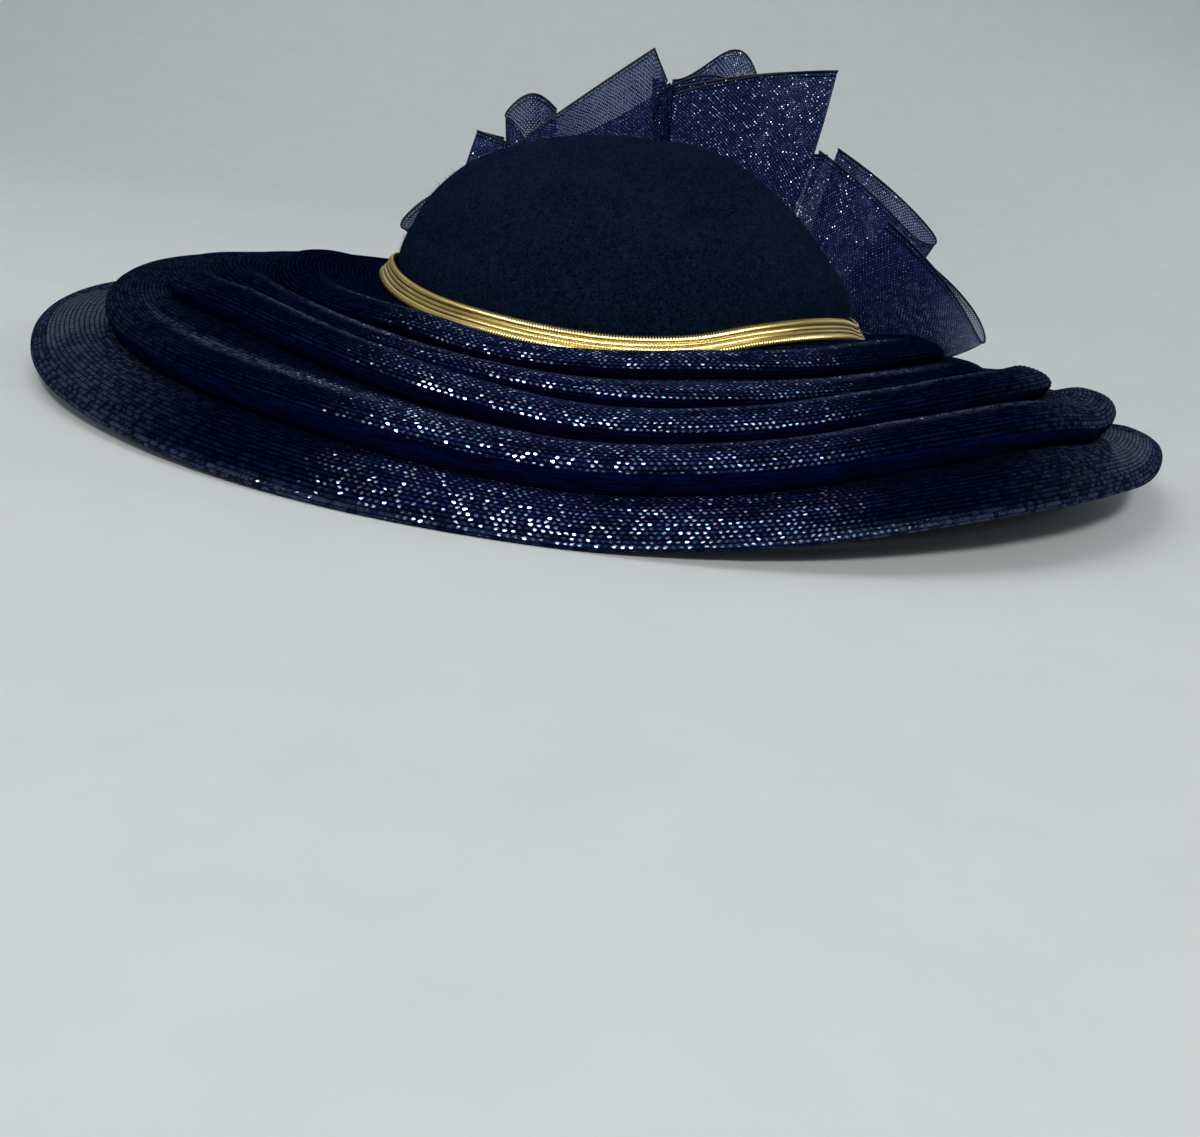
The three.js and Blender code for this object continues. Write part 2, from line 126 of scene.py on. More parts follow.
# Standing loops: start, tip and end of the upper edge as ring angle and height, the foot's two
# angles and heights, the arch of the inner and the outer layer, peak, ring, half opening,
# bluntness of the tip, bend of the sides, narrow foot.
BOW_RING = (132.0, 107.5)
FOOT_RING = (117.0, 107.5)
FOOT_SHARE = 0.8
LOOP_COLUMNS = ("start", "tip", "end", "foot_start", "foot_tip", "arch", "peak", "ring",
                "open", "blunt", "bend", "narrow_foot")
LOOPS = {
    "bow_loop_1": ((207, 57), (221, 43.5), (208, 61), (206, 32.8), (219, 32.8),
                   (2, 6), 1, 17.5, 8, 7, 1, True),
    "bow_loop_2": ((206, 83.5), (212, 87), (206, 85.5), (207, 33.0), (223, 33.0),
                   (0, 0), 1, 0, 4, 1.3, 1, True),
    "bow_loop_3": ((197, 80), (204, 94), (195, 100), (195, 33.0), (204, 33.0),
                   (-3, 8), 1, 17.5, 8, 7, 1.3, True),
    "bow_loop_4": ((203, 87.5), (180.5, 128.5), (177.5, 116.5), (193, 33.0), (173.5, 32.9),
                   (0, 0), 1, 0, 4, 1.3, 1.3, True),
    "bow_loop_5": ((192, 90.5), (161.8, 113.5), (177, 118.5), (184, 33.0), (158.5, 32.3),
                   (15, 18.3), 1.6, 17.5, 8, 7, 1.2, True),
    "bow_loop_6": ((175.5, 112), (146, 127.5), (176, 114.5), (169, 32.6), (153, 32.1),
                   (2.5, 2.5), 1, 0, 4, 1.3, 2.4, True),
    "bow_loop_7": ((149, 96.5), (126, 65.5), (148.5, 98.5), (149, 32.1), (139, 31.9),
                   (1, 1.5), 1, 18, 8, 7, 2.6, True),
    "bow_loop_8": ((128, 72.5), (92, 36.5), (125, 63), (141, 28.0), (107, 25.6),
                   (0, 0), 1, 0, 4, 1.3, 1, False),
}
RIBBON_END_UPPER = ((167, 92), (146.5, 95))
RIBBON_END_LOWER = ((166, 32.6), (152.5, 32.1))
RIBBON_END_RING, RIBBON_END_TEETH, RIBBON_END_TOOTH = 6.1, 42, 0.55

# How the net is meshed and pleated, and the thread in its edge.
LOOP_STEPS, LOOP_ROWS = 60, 26
BILLOW, PLEAT_DEPTH, PLEATS, PLEAT_SLANT = 1.2, 0.9, 6.5, 0.35
EDGE_THREAD_RADIUS, EDGE_THREAD_SIDES = 0.38, 6

# The gathered folds between two loops: middle angle and half width at their upper edge and at
# their foot, both heights, ring, depth and number.
GATHER_ANGLES = ((177.6, 2.6), (171.5, 6.5))
GATHER_HEIGHTS = (116.0, 33.0)
GATHER_RING, GATHER_DEPTH, GATHER_FOLDS = 7.4, 1.2, 5

# Where light is painted on the braid, as the light it catches: the direction its face has there
# and the cosine from which it does, half widths to both sides of the middle of the front, and the
# width of a painted lit crest. Then how far aside the outermost tier and the ends of all tiers
# are painted paler, as light, and how pale they get, the ends at the left and the right.
CATCH_DIRECTION = np.array([0.0, -0.5, 0.866])
CATCH_FROM, CATCH_FADE = 0.78, 0.14
CATCH_MIDDLE, CATCH_FURTHER, CREST_WIDTH = 72.0, 95.0, 1.9
THIN_FROM, THIN_PALE = 95.0, 0.75
ENDS_FROM, ENDS_PALE = 105.0, (0.25, 1.0)

# The camera: the picture's size in pixels, the crown's base and the pixel that it falls on, its
# distance and how many millimetres a pixel covers there, the pitch and roll in degrees, and the
# sensor's width.
PICTURE_SIZE = (1200, 1137)
CROWN_BASE = np.array([4.4, 0.0, 36.5])
CROWN_BASE_PIXEL = (624, 298)
VIEW_DISTANCE, VIEW_SCALE = 470.0, 0.362
VIEW_PITCH, VIEW_ROLL = 18.0, 7.3
SENSOR_WIDTH = 36.0

# The floor's half width, how far it comes forward, where its bend starts and that bend's radius,
# the backdrop's top, and how far the floor lies below the hat's resting plane.
FLOOR_HALF, FLOOR_NEAR, FLOOR_FAR, FLOOR_BEND, BACKDROP_TOP = 3200, 2600, 900, 900, 3600
FLOOR_BELOW = 0.05

# The lamps: name, place in metres, width and height, power and colour.
LAMPS = (
    ("key", (0.10, -1.35, 1.00), (0.22, 0.22), 12.0, (1.0, 0.99, 0.97)),
    ("overhead", (-0.5, 0.7, 2.0), (1.6, 1.6), 16.0, (0.97, 0.98, 1.0)),
    ("side", (-1.5, -0.5, 0.7), (0.9, 0.9), 4.0, (0.93, 0.97, 1.0)),
    ("fill", (1.5, -0.9, 0.8), (0.9, 0.9), 1.2, (0.93, 0.97, 1.0)),
    ("gleam", (0.26, -1.30, 0.95), (0.42, 0.60), 110.0, (1.0, 0.99, 0.96)),
    ("rear", (1.2, 1.0, 0.8), (0.8, 0.8), 4.0, (0.92, 0.96, 1.0)),
)
LAMP_TARGET = np.array([0.0, 0.0, 0.04])
WORLD_COLOUR, WORLD_STRENGTH = (0.82, 0.88, 0.95, 1), 0.10

# What the slots of braid and net do to the light that passes, how open the braid is in its
# rolled tiers and at its edge, and how dense the net is besides.
SEEN_THROUGH = (0.72, 0.82, 1.0, 1)
ROLLED_CLEAR, EDGE_CLEAR = 0.02, 0.16
RIBBON_END_DENSITY, GATHERS_DENSITY, FOOT_DENSITY = 0.4, 0.8, 0.3


# Shapes

def smooth_step(value):
    """Rises from 0 to 1 as 3 t squared less 2 t cubed, and stays flat outside."""
    held = np.clip(value, 0.0, 1.0)
    return held * held * (3.0 - 2.0 * held)


def height_at(column, degrees):
    """Smooth closed curve through one column of the stations: a cubic between two stations,
    with the slope at each taken from its two neighbours."""
    angles, values = STATIONS[:, 0], STATIONS[:, STATION_COLUMNS.index(column)]
    count = len(angles)
    turn = np.mod(np.asarray(degrees, float) - angles[0], 360.0) + angles[0]
    low = np.searchsorted(angles, turn, side="right") - 1

    def station(index):
        return angles[index % count] + 360.0 * (index // count), values[index % count]

    before, here, after, later = (station(low + shift) for shift in (-1, 0, 1, 2))
    span = after[0] - here[0]
    share = (turn - here[0]) / span
    slope_here = (after[1] - before[1]) / (after[0] - before[0]) * span
    slope_after = (later[1] - here[1]) / (later[0] - here[0]) * span
    square, cube = share ** 2, share ** 3
    return ((2 * cube - 3 * square + 1) * here[1] + (cube - 2 * square + share) * slope_here
            + (3 * square - 2 * cube) * after[1] + (cube - square) * slope_after)


def on_ring(degrees, half, longer, centre, height):
    """Points of an oval ring: half the width across, longer than that by a little front and
    back, moved sideways by centre."""
    turn = np.radians(degrees)
    points = np.broadcast_arrays(centre + half * np.sin(turn),
                                 -(half + longer) * np.cos(turn), height)
    return np.stack(points, axis=-1)


def seam_height(degrees):
    return height_at("gold", degrees) - SEAM_BELOW_GOLD


def tier(name):
    return dict(zip(TIER_COLUMNS, TIERS[name]))


def smooth_rows(rows, per_span):
    """Adds rows between the given ones: each is a Catmull-Rom blend of its four neighbours,
    point by point."""
    padded = np.concatenate([2 * rows[:1] - rows[1:2], rows, 2 * rows[-1:] - rows[-2:-1]])
    a, b, c, d = (padded[shift:len(rows) - 1 + shift, None] for shift in range(4))
    t = (np.arange(per_span) / per_span)[None, :, None, None]
    fine = 0.5 * (2 * b + (c - a) * t + (2 * a - 5 * b + 4 * c - d) * t ** 2
                  + (3 * b - a - 3 * c + d) * t ** 3)
    return np.concatenate([fine.reshape(-1, *rows.shape[1:]), rows[-1:]])


def even_rows(rows, count):
    """The same surface with its rows at even steps of the distance run along each column."""
    steps = np.linalg.norm(np.diff(rows, axis=0), axis=2)
    run = np.concatenate([np.zeros((1, rows.shape[1])), np.cumsum(steps, axis=0)])
    run = run / run[-1]
    given, columns = run.shape
    shift = 2.0 * np.arange(columns)
    marks = (run + shift).T.ravel()
    wanted = (np.linspace(0, 1, count)[:, None] + shift).T
    first = given * np.arange(columns)[:, None]
    high = np.clip(np.searchsorted(marks, wanted, side="right"), first + 1, first + given - 1)
    share = np.clip((wanted - marks[high - 1]) / np.maximum(marks[high] - marks[high - 1], 1e-9),
                    0, 1)
    points = rows.transpose(1, 0, 2).reshape(-1, 3)
    even = points[high - 1] + (points[high] - points[high - 1]) * share[..., None]
    return even.transpose(1, 0, 2)


def grid_normals(points, around):
    """Unit normals of a grid: the direction along its columns crossed with the one along its
    rows."""
    down = np.gradient(points, axis=0)
    if around:
        across = np.roll(points, -1, axis=1) - np.roll(points, 1, axis=1)
    else:
        across = np.gradient(points, axis=1)
    normal = np.cross(down, across)
    return normal / np.maximum(np.linalg.norm(normal, axis=2, keepdims=True), 1e-9)


def ring_uv(row_marks, columns, around_count):
    """Pattern coordinates of a ring: the count around the hat, and the mark of each row."""
    u = np.linspace(0, around_count, columns + 1)[None, :]
    v = np.asarray(row_marks, float)[:, None]
    return np.stack(np.broadcast_arrays(u, v), axis=-1)


def corner_uv(uv):
    """Pattern coordinates of the four corners of each quad, from those of a grid's points."""
    return np.stack([uv[:-1, :-1], uv[1:, :-1], uv[1:, 1:], uv[:-1, 1:]], axis=-2).reshape(-1, 2)


def rib_corner_uv(first_rib, stitches, steps, columns):
    """Pattern coordinates of a ribbed ring: the height counts ribs, the length counts the
    stitches of each rib, and every rib has a whole number of them."""
    row = np.arange(len(stitches) * steps)
    low, high = first_rib + row / steps, first_rib + (row + 1) / steps
    left = np.arange(columns)[None, :] / columns * stitches[row // steps][:, None]
    right = np.arange(1, columns + 1)[None, :] / columns * stitches[row // steps][:, None]
    low, high = (np.broadcast_to(value[:, None], left.shape) for value in (low, high))
    return np.stack([np.stack([left, low], -1), np.stack([left, high], -1),
                     np.stack([right, high], -1), np.stack([right, low], -1)], 2).reshape(-1, 2)


def grid_quads(rows, columns, around, wrap_rows=False):
    """Quads of a grid of rows and columns, which closes on itself around, over its rows, or
    both."""
    row = np.arange(rows if wrap_rows else rows - 1)[:, None]
    column = np.arange(columns if around else columns - 1)[None, :]
    below = (row + 1) % rows
    beside = (column + 1) % columns
    quads = np.stack([row * columns + column, below * columns + column,
                      below * columns + beside, row * columns + beside], axis=-1)
    return quads.reshape(-1, 4)


def piece_from_faces(name, points, faces, face_uv, material, slot, marks=None):
    """Puts points in millimetres and faces, each an array of corners, into one smooth mesh.
    Marks are one value for each point, which the material may read by their names."""
    mesh = bpy.data.meshes.new(name)
    mesh.vertices.add(len(points))
    mesh.vertices.foreach_set("co", (points * 0.001).ravel())
    corners = np.concatenate([face.ravel() for face in faces])
    sizes = np.concatenate([np.full(len(face), face.shape[1]) for face in faces])
    mesh.loops.add(len(corners))
    mesh.loops.foreach_set("vertex_index", corners)
    mesh.polygons.add(len(sizes))
    mesh.polygons.foreach_set("loop_start", np.concatenate([[0], np.cumsum(sizes)[:-1]]))
    mesh.update(calc_edges=True)
    mesh.polygons.foreach_set("use_smooth", np.ones(len(sizes), bool))
    layer = mesh.uv_layers.new(name="UVMap")
    layer.data.foreach_set("uv", np.concatenate([uv.reshape(-1, 2) for uv in face_uv]).ravel())
    for mark, values in (marks or {}).items():
        mesh.attributes.new(mark, "FLOAT", "POINT").data.foreach_set("value", values.ravel())
    mesh.materials.append(material)
    mesh.validate()
    piece = bpy.data.objects.new(name, mesh)
    bpy.context.scene.collection.objects.link(piece)
    if slot:
        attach(piece, "root")
    return piece


def grid_piece(name, points, uv, material, slot, around=True, wrap_rows=False, marks=None):
    quads = grid_quads(*points.shape[:2], around, wrap_rows)
    return piece_from_faces(name, points.reshape(-1, 3), [quads], [corner_uv(uv)], material,
                            slot, marks)


def crown_point(degrees, level, seam_mean):
    """The dome: a superellipse from the seam, at level 0, to the top, at level 1. It swells
    and leans a little above the seam and is flatter on the right."""
    inward = np.cos(np.pi / 2 * level)
    flatter = CROWN_FLATTER + CROWN_FLATTER_RIGHT * np.sin(np.radians(degrees))
    fullness = 2.0 - flatter * inward
    up = CROWN_HEIGHT * np.maximum(1.0 - inward ** fullness, 0.0) ** (1.0 / fullness)
    swell = CROWN_SWELL * smooth_step(up / CROWN_SWELL_HEIGHT)
    lean = CROWN_LEAN * smooth_step(up / CROWN_LEAN_HEIGHT)
    base = seam_mean + (seam_height(degrees) - seam_mean) * inward + CROWN_START_ABOVE_SEAM
    turn = np.radians(degrees)
    return np.stack([CROWN_CENTRE + lean + (CROWN_HALF + swell) * inward * np.sin(turn),
                     -(CROWN_HALF + swell + CROWN_LONGER) * inward * np.cos(turn),
                     base + up], axis=-1)


def valley_row(name, degrees, below=0.0):
    t = tier(name)
    return on_ring(degrees, t["half"] - t["tuck"], t["longer"], t["centre"],
                   height_at(name, degrees) - t["drop"] - below)


def felt_rows(degrees, crown_rows):
    """Outer face of the felt: the dome from its top down, the seam, and the brim that runs
    under the tiers' valleys to its own edge."""
    seam_mean = seam_height(degrees).mean()
    levels = np.arange(crown_rows - 1, -1, -1) / crown_rows
    crown = crown_point(degrees[None, :], levels[:, None], seam_mean)

    def seam_row(out, below):
        return on_ring(degrees, CROWN_HALF + out, CROWN_LONGER, CROWN_CENTRE,
                       seam_height(degrees) - below)

    last = tier("tier4")
    edge_height = np.minimum(
        FELT_EDGE_FOLLOWS_RIM * np.maximum(height_at("edge", degrees), 0)
        + FELT_EDGE_ABOVE_PLANE,
        height_at("tier4", degrees) - last["drop"] - FELT_UNDER_BRAID + FELT_EDGE_CLOSER)
    brim = [seam_row(out, below) for out, below in FELT_SEAM_ROWS]
    brim += [valley_row(name, degrees, FELT_UNDER_BRAID) for name in TIERS]
    brim.append(on_ring(degrees, FELT_EDGE_HALF, last["longer"], last["centre"], edge_height))
    return np.concatenate([crown, np.stack(brim)]), seam_mean


def braid_rows(degrees):
    """Rows of the braid from the seam to the edge, one list for each tier: slope, crest,
    shoulder, nose, side and valley, and for the last the fall to the edge and the hem that is
    turned under it."""
    valley = on_ring(degrees, CROWN_HALF + BRAID_START_OUT, CROWN_LONGER, CROWN_CENTRE,
                     seam_height(degrees) - BRAID_START_BELOW_SEAM)
    groups = []
    for name in TIERS:
        t = tier(name)

        def rise(inward, up):
            return on_ring(degrees, t["half"] - inward, t["longer"], t["centre"],
                           height_at(name, degrees) + up)

        crest = rise(t["crest_in"], t["rise"])
        slope = (valley + crest) / 2 + np.array([0, 0, SLOPE_LIFT * t["rise"]])
        rows = [valley, slope, crest,
                rise(SHOULDER[0] * t["crest_in"], SHOULDER[1] * t["rise"]), rise(0, 0),
                rise(SIDE[0] * t["tuck"], -SIDE[1] * t["drop"]), valley_row(name, degrees)]
        groups.append(np.stack(rows))
        valley = rows[-1]
    last = tier("tier4")

    def fall(share, lift):
        low = np.maximum(height_at("edge", degrees), 0.0)
        high = height_at("tier4", degrees) - last["drop"]
        puff = EDGE_PUFF * np.sin(np.pi * share)
        half = last["half"] - last["tuck"]
        return on_ring(degrees, half + (EDGE_HALF - half) * share, EDGE_LONGER,
                       last["centre"] * (1 - share),
                       low + (high - low) * (1 - share ** 3) + puff + lift)

    groups.append(np.stack([valley] + [fall(share, lift) for share, lift in FALL_ROWS]))
    return groups


def on_bow_ring(ring, degrees, height, out):
    turn = np.radians(degrees)
    return np.stack(np.broadcast_arrays(
        CROWN_CENTRE + (ring[0] + out) * np.sin(turn),
        -(ring[1] + out) * np.cos(turn), height), axis=-1)


def ribbon_uv(points, down):
    """Pattern coordinates in millimetres: the run along the upper edge, and the share down the
    ribbon times its mean drop."""
    run = np.concatenate([[0], np.cumsum(np.linalg.norm(np.diff(points[0], axis=0), axis=1))])
    drop = np.linalg.norm(points[-1] - points[0], axis=1).mean()
    return np.stack(np.broadcast_arrays(run[None, :], down * drop), axis=-1)


def loop_surface(loop, steps, rows):
    """One ribbon loop. Along it, s runs from -1 at the start to 0 at the tip and 1 at the end;
    down it, t runs from the upper edge to the foot. Angle and height go from the ends to the
    tip as a sine of s, and the two layers lie apart by a superellipse. Between the edges the
    height changes evenly and the angle as t to the power of the bend. Pleats deepen towards
    the foot and towards the two ends, where the ribbon is gathered. The third result says how
    dense the net looks: more so where it is gathered and in the crease of a flat loop, and less
    towards the tip of the loop whose foot is wide."""
    s = np.linspace(-1, 1, 2 * steps + 1)
    inner = s < 0
    reach = np.sin(np.pi / 2 * (1 - np.abs(s)))
    tip = np.array(loop["tip"], float)
    start = np.where(inner[:, None], np.array(loop["start"], float), np.array(loop["end"], float))
    upper = start + (tip - start) * reach[:, None]
    arch = np.where(inner, loop["arch"][0], loop["arch"][1])
    upper[:, 1] += arch * np.sin(np.pi * reach ** loop["peak"])
    foot_start = np.array(loop["foot_start"], float)
    foot = foot_start + (np.array(loop["foot_tip"], float) - foot_start) * reach[:, None]
    apart = np.sign(s) * np.sqrt(np.maximum(0.0, 1 - reach ** (2 * loop["blunt"])))
    t = np.linspace(0, 1, rows)[:, None]
    away = (loop["ring"] + loop["open"] * apart) * (1 - t + FOOT_SHARE * t)
    billow = BILLOW * np.sin(np.pi * t) * apart
    gathered = np.maximum(0.6 * t ** 1.5, smooth_step(np.abs(s) * 2.6 - 1.6))
    pleat = PLEAT_DEPTH * gathered * np.sin(2 * np.pi * (PLEATS * s + PLEAT_SLANT * t) + 1.0)
    pleat = pleat * smooth_step(8 * t) * np.minimum(1, 3 * np.abs(s))
    foot_half = (FOOT_RING if loop["narrow_foot"] else BOW_RING)[0]
    ring = (BOW_RING[0] + (foot_half - BOW_RING[0]) * t, BOW_RING[1])
    angle = upper[:, 0] + (foot[:, 0] - upper[:, 0]) * t ** loop["bend"]
    height = upper[:, 1] + (foot[:, 1] - upper[:, 1]) * t
    points = on_bow_ring(ring, angle, height, away + billow + pleat)
    uv = ribbon_uv(points, t)
    crease = smooth_step(1.6 - np.abs(s) * 22) * smooth_step(t * 2.2 - 0.1) * (loop["ring"] == 0)
    thin = 0.0 if loop["narrow_foot"] else 0.70 * reach ** 2
    gathered = np.maximum(gathered, 1.4 * crease) - thin
    if loop["tip"][0] > loop["start"][0]:
        points, uv, gathered = points[:, ::-1], uv[:, ::-1], gathered[:, ::-1]
    return points, uv, gathered


def tube_surface(path, radius, sides):
    """A round thread carried along a path: a circle of points square to it at each step."""
    ahead = np.gradient(path, axis=0)
    ahead /= np.maximum(np.linalg.norm(ahead, axis=1, keepdims=True), 1e-9)
    side = np.cross(ahead, np.array([0.0, 0.3, 1.0]))
    side /= np.maximum(np.linalg.norm(side, axis=1, keepdims=True), 1e-9)
    upward = np.cross(side, ahead)
    turn = np.linspace(0, 2 * np.pi, sides, endpoint=False)
    points = (path[:, None] + radius * (np.cos(turn)[None, :, None] * side[:, None]
                                        + np.sin(turn)[None, :, None] * upward[:, None]))
    return points, ring_uv(np.arange(len(path)), sides, 1.0)


def surface_area(points):
    """Area of a grid in square millimetres: half the cross product of each quad's diagonals."""
    first = points[1:, 1:] - points[:-1, :-1]
    second = points[1:, :-1] - points[:-1, 1:]
    return 0.5 * np.linalg.norm(np.cross(first, second), axis=2).sum()


# Finishes

class Finish:
    """The nodes of one material."""

    def __init__(self, name):
        self.material = bpy.data.materials.new(name)
        self.material.use_nodes = True
        self.tree = self.material.node_tree
        self.tree.nodes.clear()

    def add(self, kind, inputs=None, out=0, **settings):
        """Makes a node, sets or links its inputs, and gives back one of its outputs."""
        made = self.tree.nodes.new("ShaderNode" + kind)
        for key, value in settings.items():
            setattr(made, key, value)
        for key, value in (inputs or {}).items():
            if isinstance(value, bpy.types.NodeSocket):
                self.tree.links.new(value, made.inputs[key])
            else:
                made.inputs[key].default_value = value
        return made.outputs[out]

    def math(self, operation, a, b=0.0, c=0.0):
        return self.add("Math", {0: a, 1: b, 2: c}, operation=operation)

    def times(self, a, b):
        return self.math("MULTIPLY", a, b)

    def times_plus(self, a, b, c):
        return self.math("MULTIPLY_ADD", a, b, c)

    def range(self, value, low, high, to_low=0.0, to_high=1.0):
        return self.add("MapRange", {0: value, 1: low, 2: high, 3: to_low, 4: to_high},
                        interpolation_type="SMOOTHSTEP")

    def mix(self, share, first, second):
        return self.add("Mix", {0: share, 6: first, 7: second}, out=2, data_type="RGBA")

    def noise(self, vector, scale, detail=3.0, roughness=0.6, distortion=0.0):
        return self.add("TexNoise", {"Vector": vector, "Scale": scale, "Detail": detail,
                                     "Roughness": roughness, "Distortion": distortion})

    def parts(self, vector):
        return tuple(self.add("SeparateXYZ", {0: vector}).node.outputs)

    def apart(self, value, centre):
        return self.math("ABSOLUTE", self.math("SUBTRACT", value, centre))

    def bump(self, height, strength, distance):
        return self.add("Bump", {"Strength": strength, "Distance": distance, "Height": height})

    def mix_shaders(self, share, first, second):
        return self.add("MixShader", {0: share, 1: first, 2: second})

    def clear_way(self):
        return self.add("BsdfTransparent", {"Color": SEEN_THROUGH})

    def place(self):
        return self.add("TexCoord", out="Object")

    def pattern(self):
        return self.add("UVMap", uv_map="UVMap")

    def mark(self, name):
        return self.add("Attribute", out="Fac", attribute_name=name)

    def stretch(self, vector, x, y):
        return self.add("Mapping", {"Vector": vector, "Scale": (x, y, 1.0)})

    def finish(self, shader):
        output = self.tree.nodes.new("ShaderNodeOutputMaterial")
        self.tree.links.new(shader, output.inputs["Surface"])
        return self.material


def rgba(colour):
    return (*colour[:3], 1.0)


def felt_finish(colours):
    """Wool felt: cloudy dark navy, short matted fibres in curls, and a soft bloom."""
    f = Finish("wool_felt")
    place = f.place()
    cloud = f.noise(place, 45, 3)
    curls = f.noise(place, 680, 4, 0.66, distortion=1.8)
    grain = f.noise(place, 2400, 3, 0.7)
    light = f.times_plus(cloud, 0.16, f.times_plus(curls, 0.95, f.times(grain, 0.45)))
    colour = f.mix(f.range(light, 0.62, 0.94), rgba(colours.felt_deep), rgba(colours.felt_light))
    height = f.times_plus(grain, 0.5, curls)
    return f.finish(f.add("BsdfPrincipled", {
        "Base Color": colour, "Roughness": 1.0, "Specular IOR Level": 0.0,
        "Sheen Weight": 0.03, "Sheen Roughness": 0.5, "Sheen Tint": (0.10, 0.30, 0.55, 1.0),
        "Normal": f.bump(height, 0.85, 0.0009)}))


def fuzz_finish(colours):
    """Loose wool fibres, some of them paler."""
    f = Finish("felt_fibres")
    tone = f.noise(f.place(), 700, 2)
    colour = f.mix(f.range(tone, 0.35, 0.75), rgba(colours.felt_light), rgba(colours.fibre_light))
    return f.finish(f.add("BsdfPrincipled", {"Base Color": colour, "Roughness": 0.9,
                                             "Specular IOR Level": 0.05}))


def glint_tint(f, value):
    """Colours of the glints, mostly cold white with some blue, teal and violet."""
    tint = f.add("ValToRGB", {0: value})
    ramp = tint.node.color_ramp
    ramp.elements[0].color = (0.42, 0.56, 1.0, 1)
    ramp.elements[1].color = (0.86, 0.93, 1.0, 1)
    for position, colour in ((0.3, (0.72, 0.84, 1.0, 1)), (0.6, (0.35, 0.75, 0.90, 1)),
                             (0.75, (0.58, 0.50, 1.0, 1)), (0.85, (0.84, 0.92, 1.0, 1))):
        ramp.elements.new(position).color = colour
    return tint


def cell_chance(f, across, down):
    """Three random numbers of one cell of a pattern, from its two whole numbers, and a normal
    that leans from the face by a random turn, as a facet of the thread does."""
    cell = f.add("CombineXYZ", {0: across, 1: down})
    noise = f.add("TexWhiteNoise", {"Vector": cell}, noise_dimensions="2D").node
    parts = f.add("SeparateColor", {0: noise.outputs["Color"]}).node
    lean = f.add("VectorMath", {0: noise.outputs["Color"], 1: (0.8, 0.8, 0.8),
                                2: (-0.4, -0.4, -0.4)}, operation="MULTIPLY_ADD")
    face = f.add("NewGeometry", out="Normal")
    leaning = f.add("VectorMath", {0: f.add("VectorMath", {0: face, 1: lean}, operation="ADD")},
                    operation="NORMALIZE")
    return (*parts.outputs[:3], leaning)


def facet(f, hue, leaning):
    """A bright facet of the thread, which mirrors the lamps softly."""
    return f.add("BsdfPrincipled", {"Base Color": glint_tint(f, hue), "Metallic": 1.0,
                                    "Roughness": 0.36, "Normal": leaning})


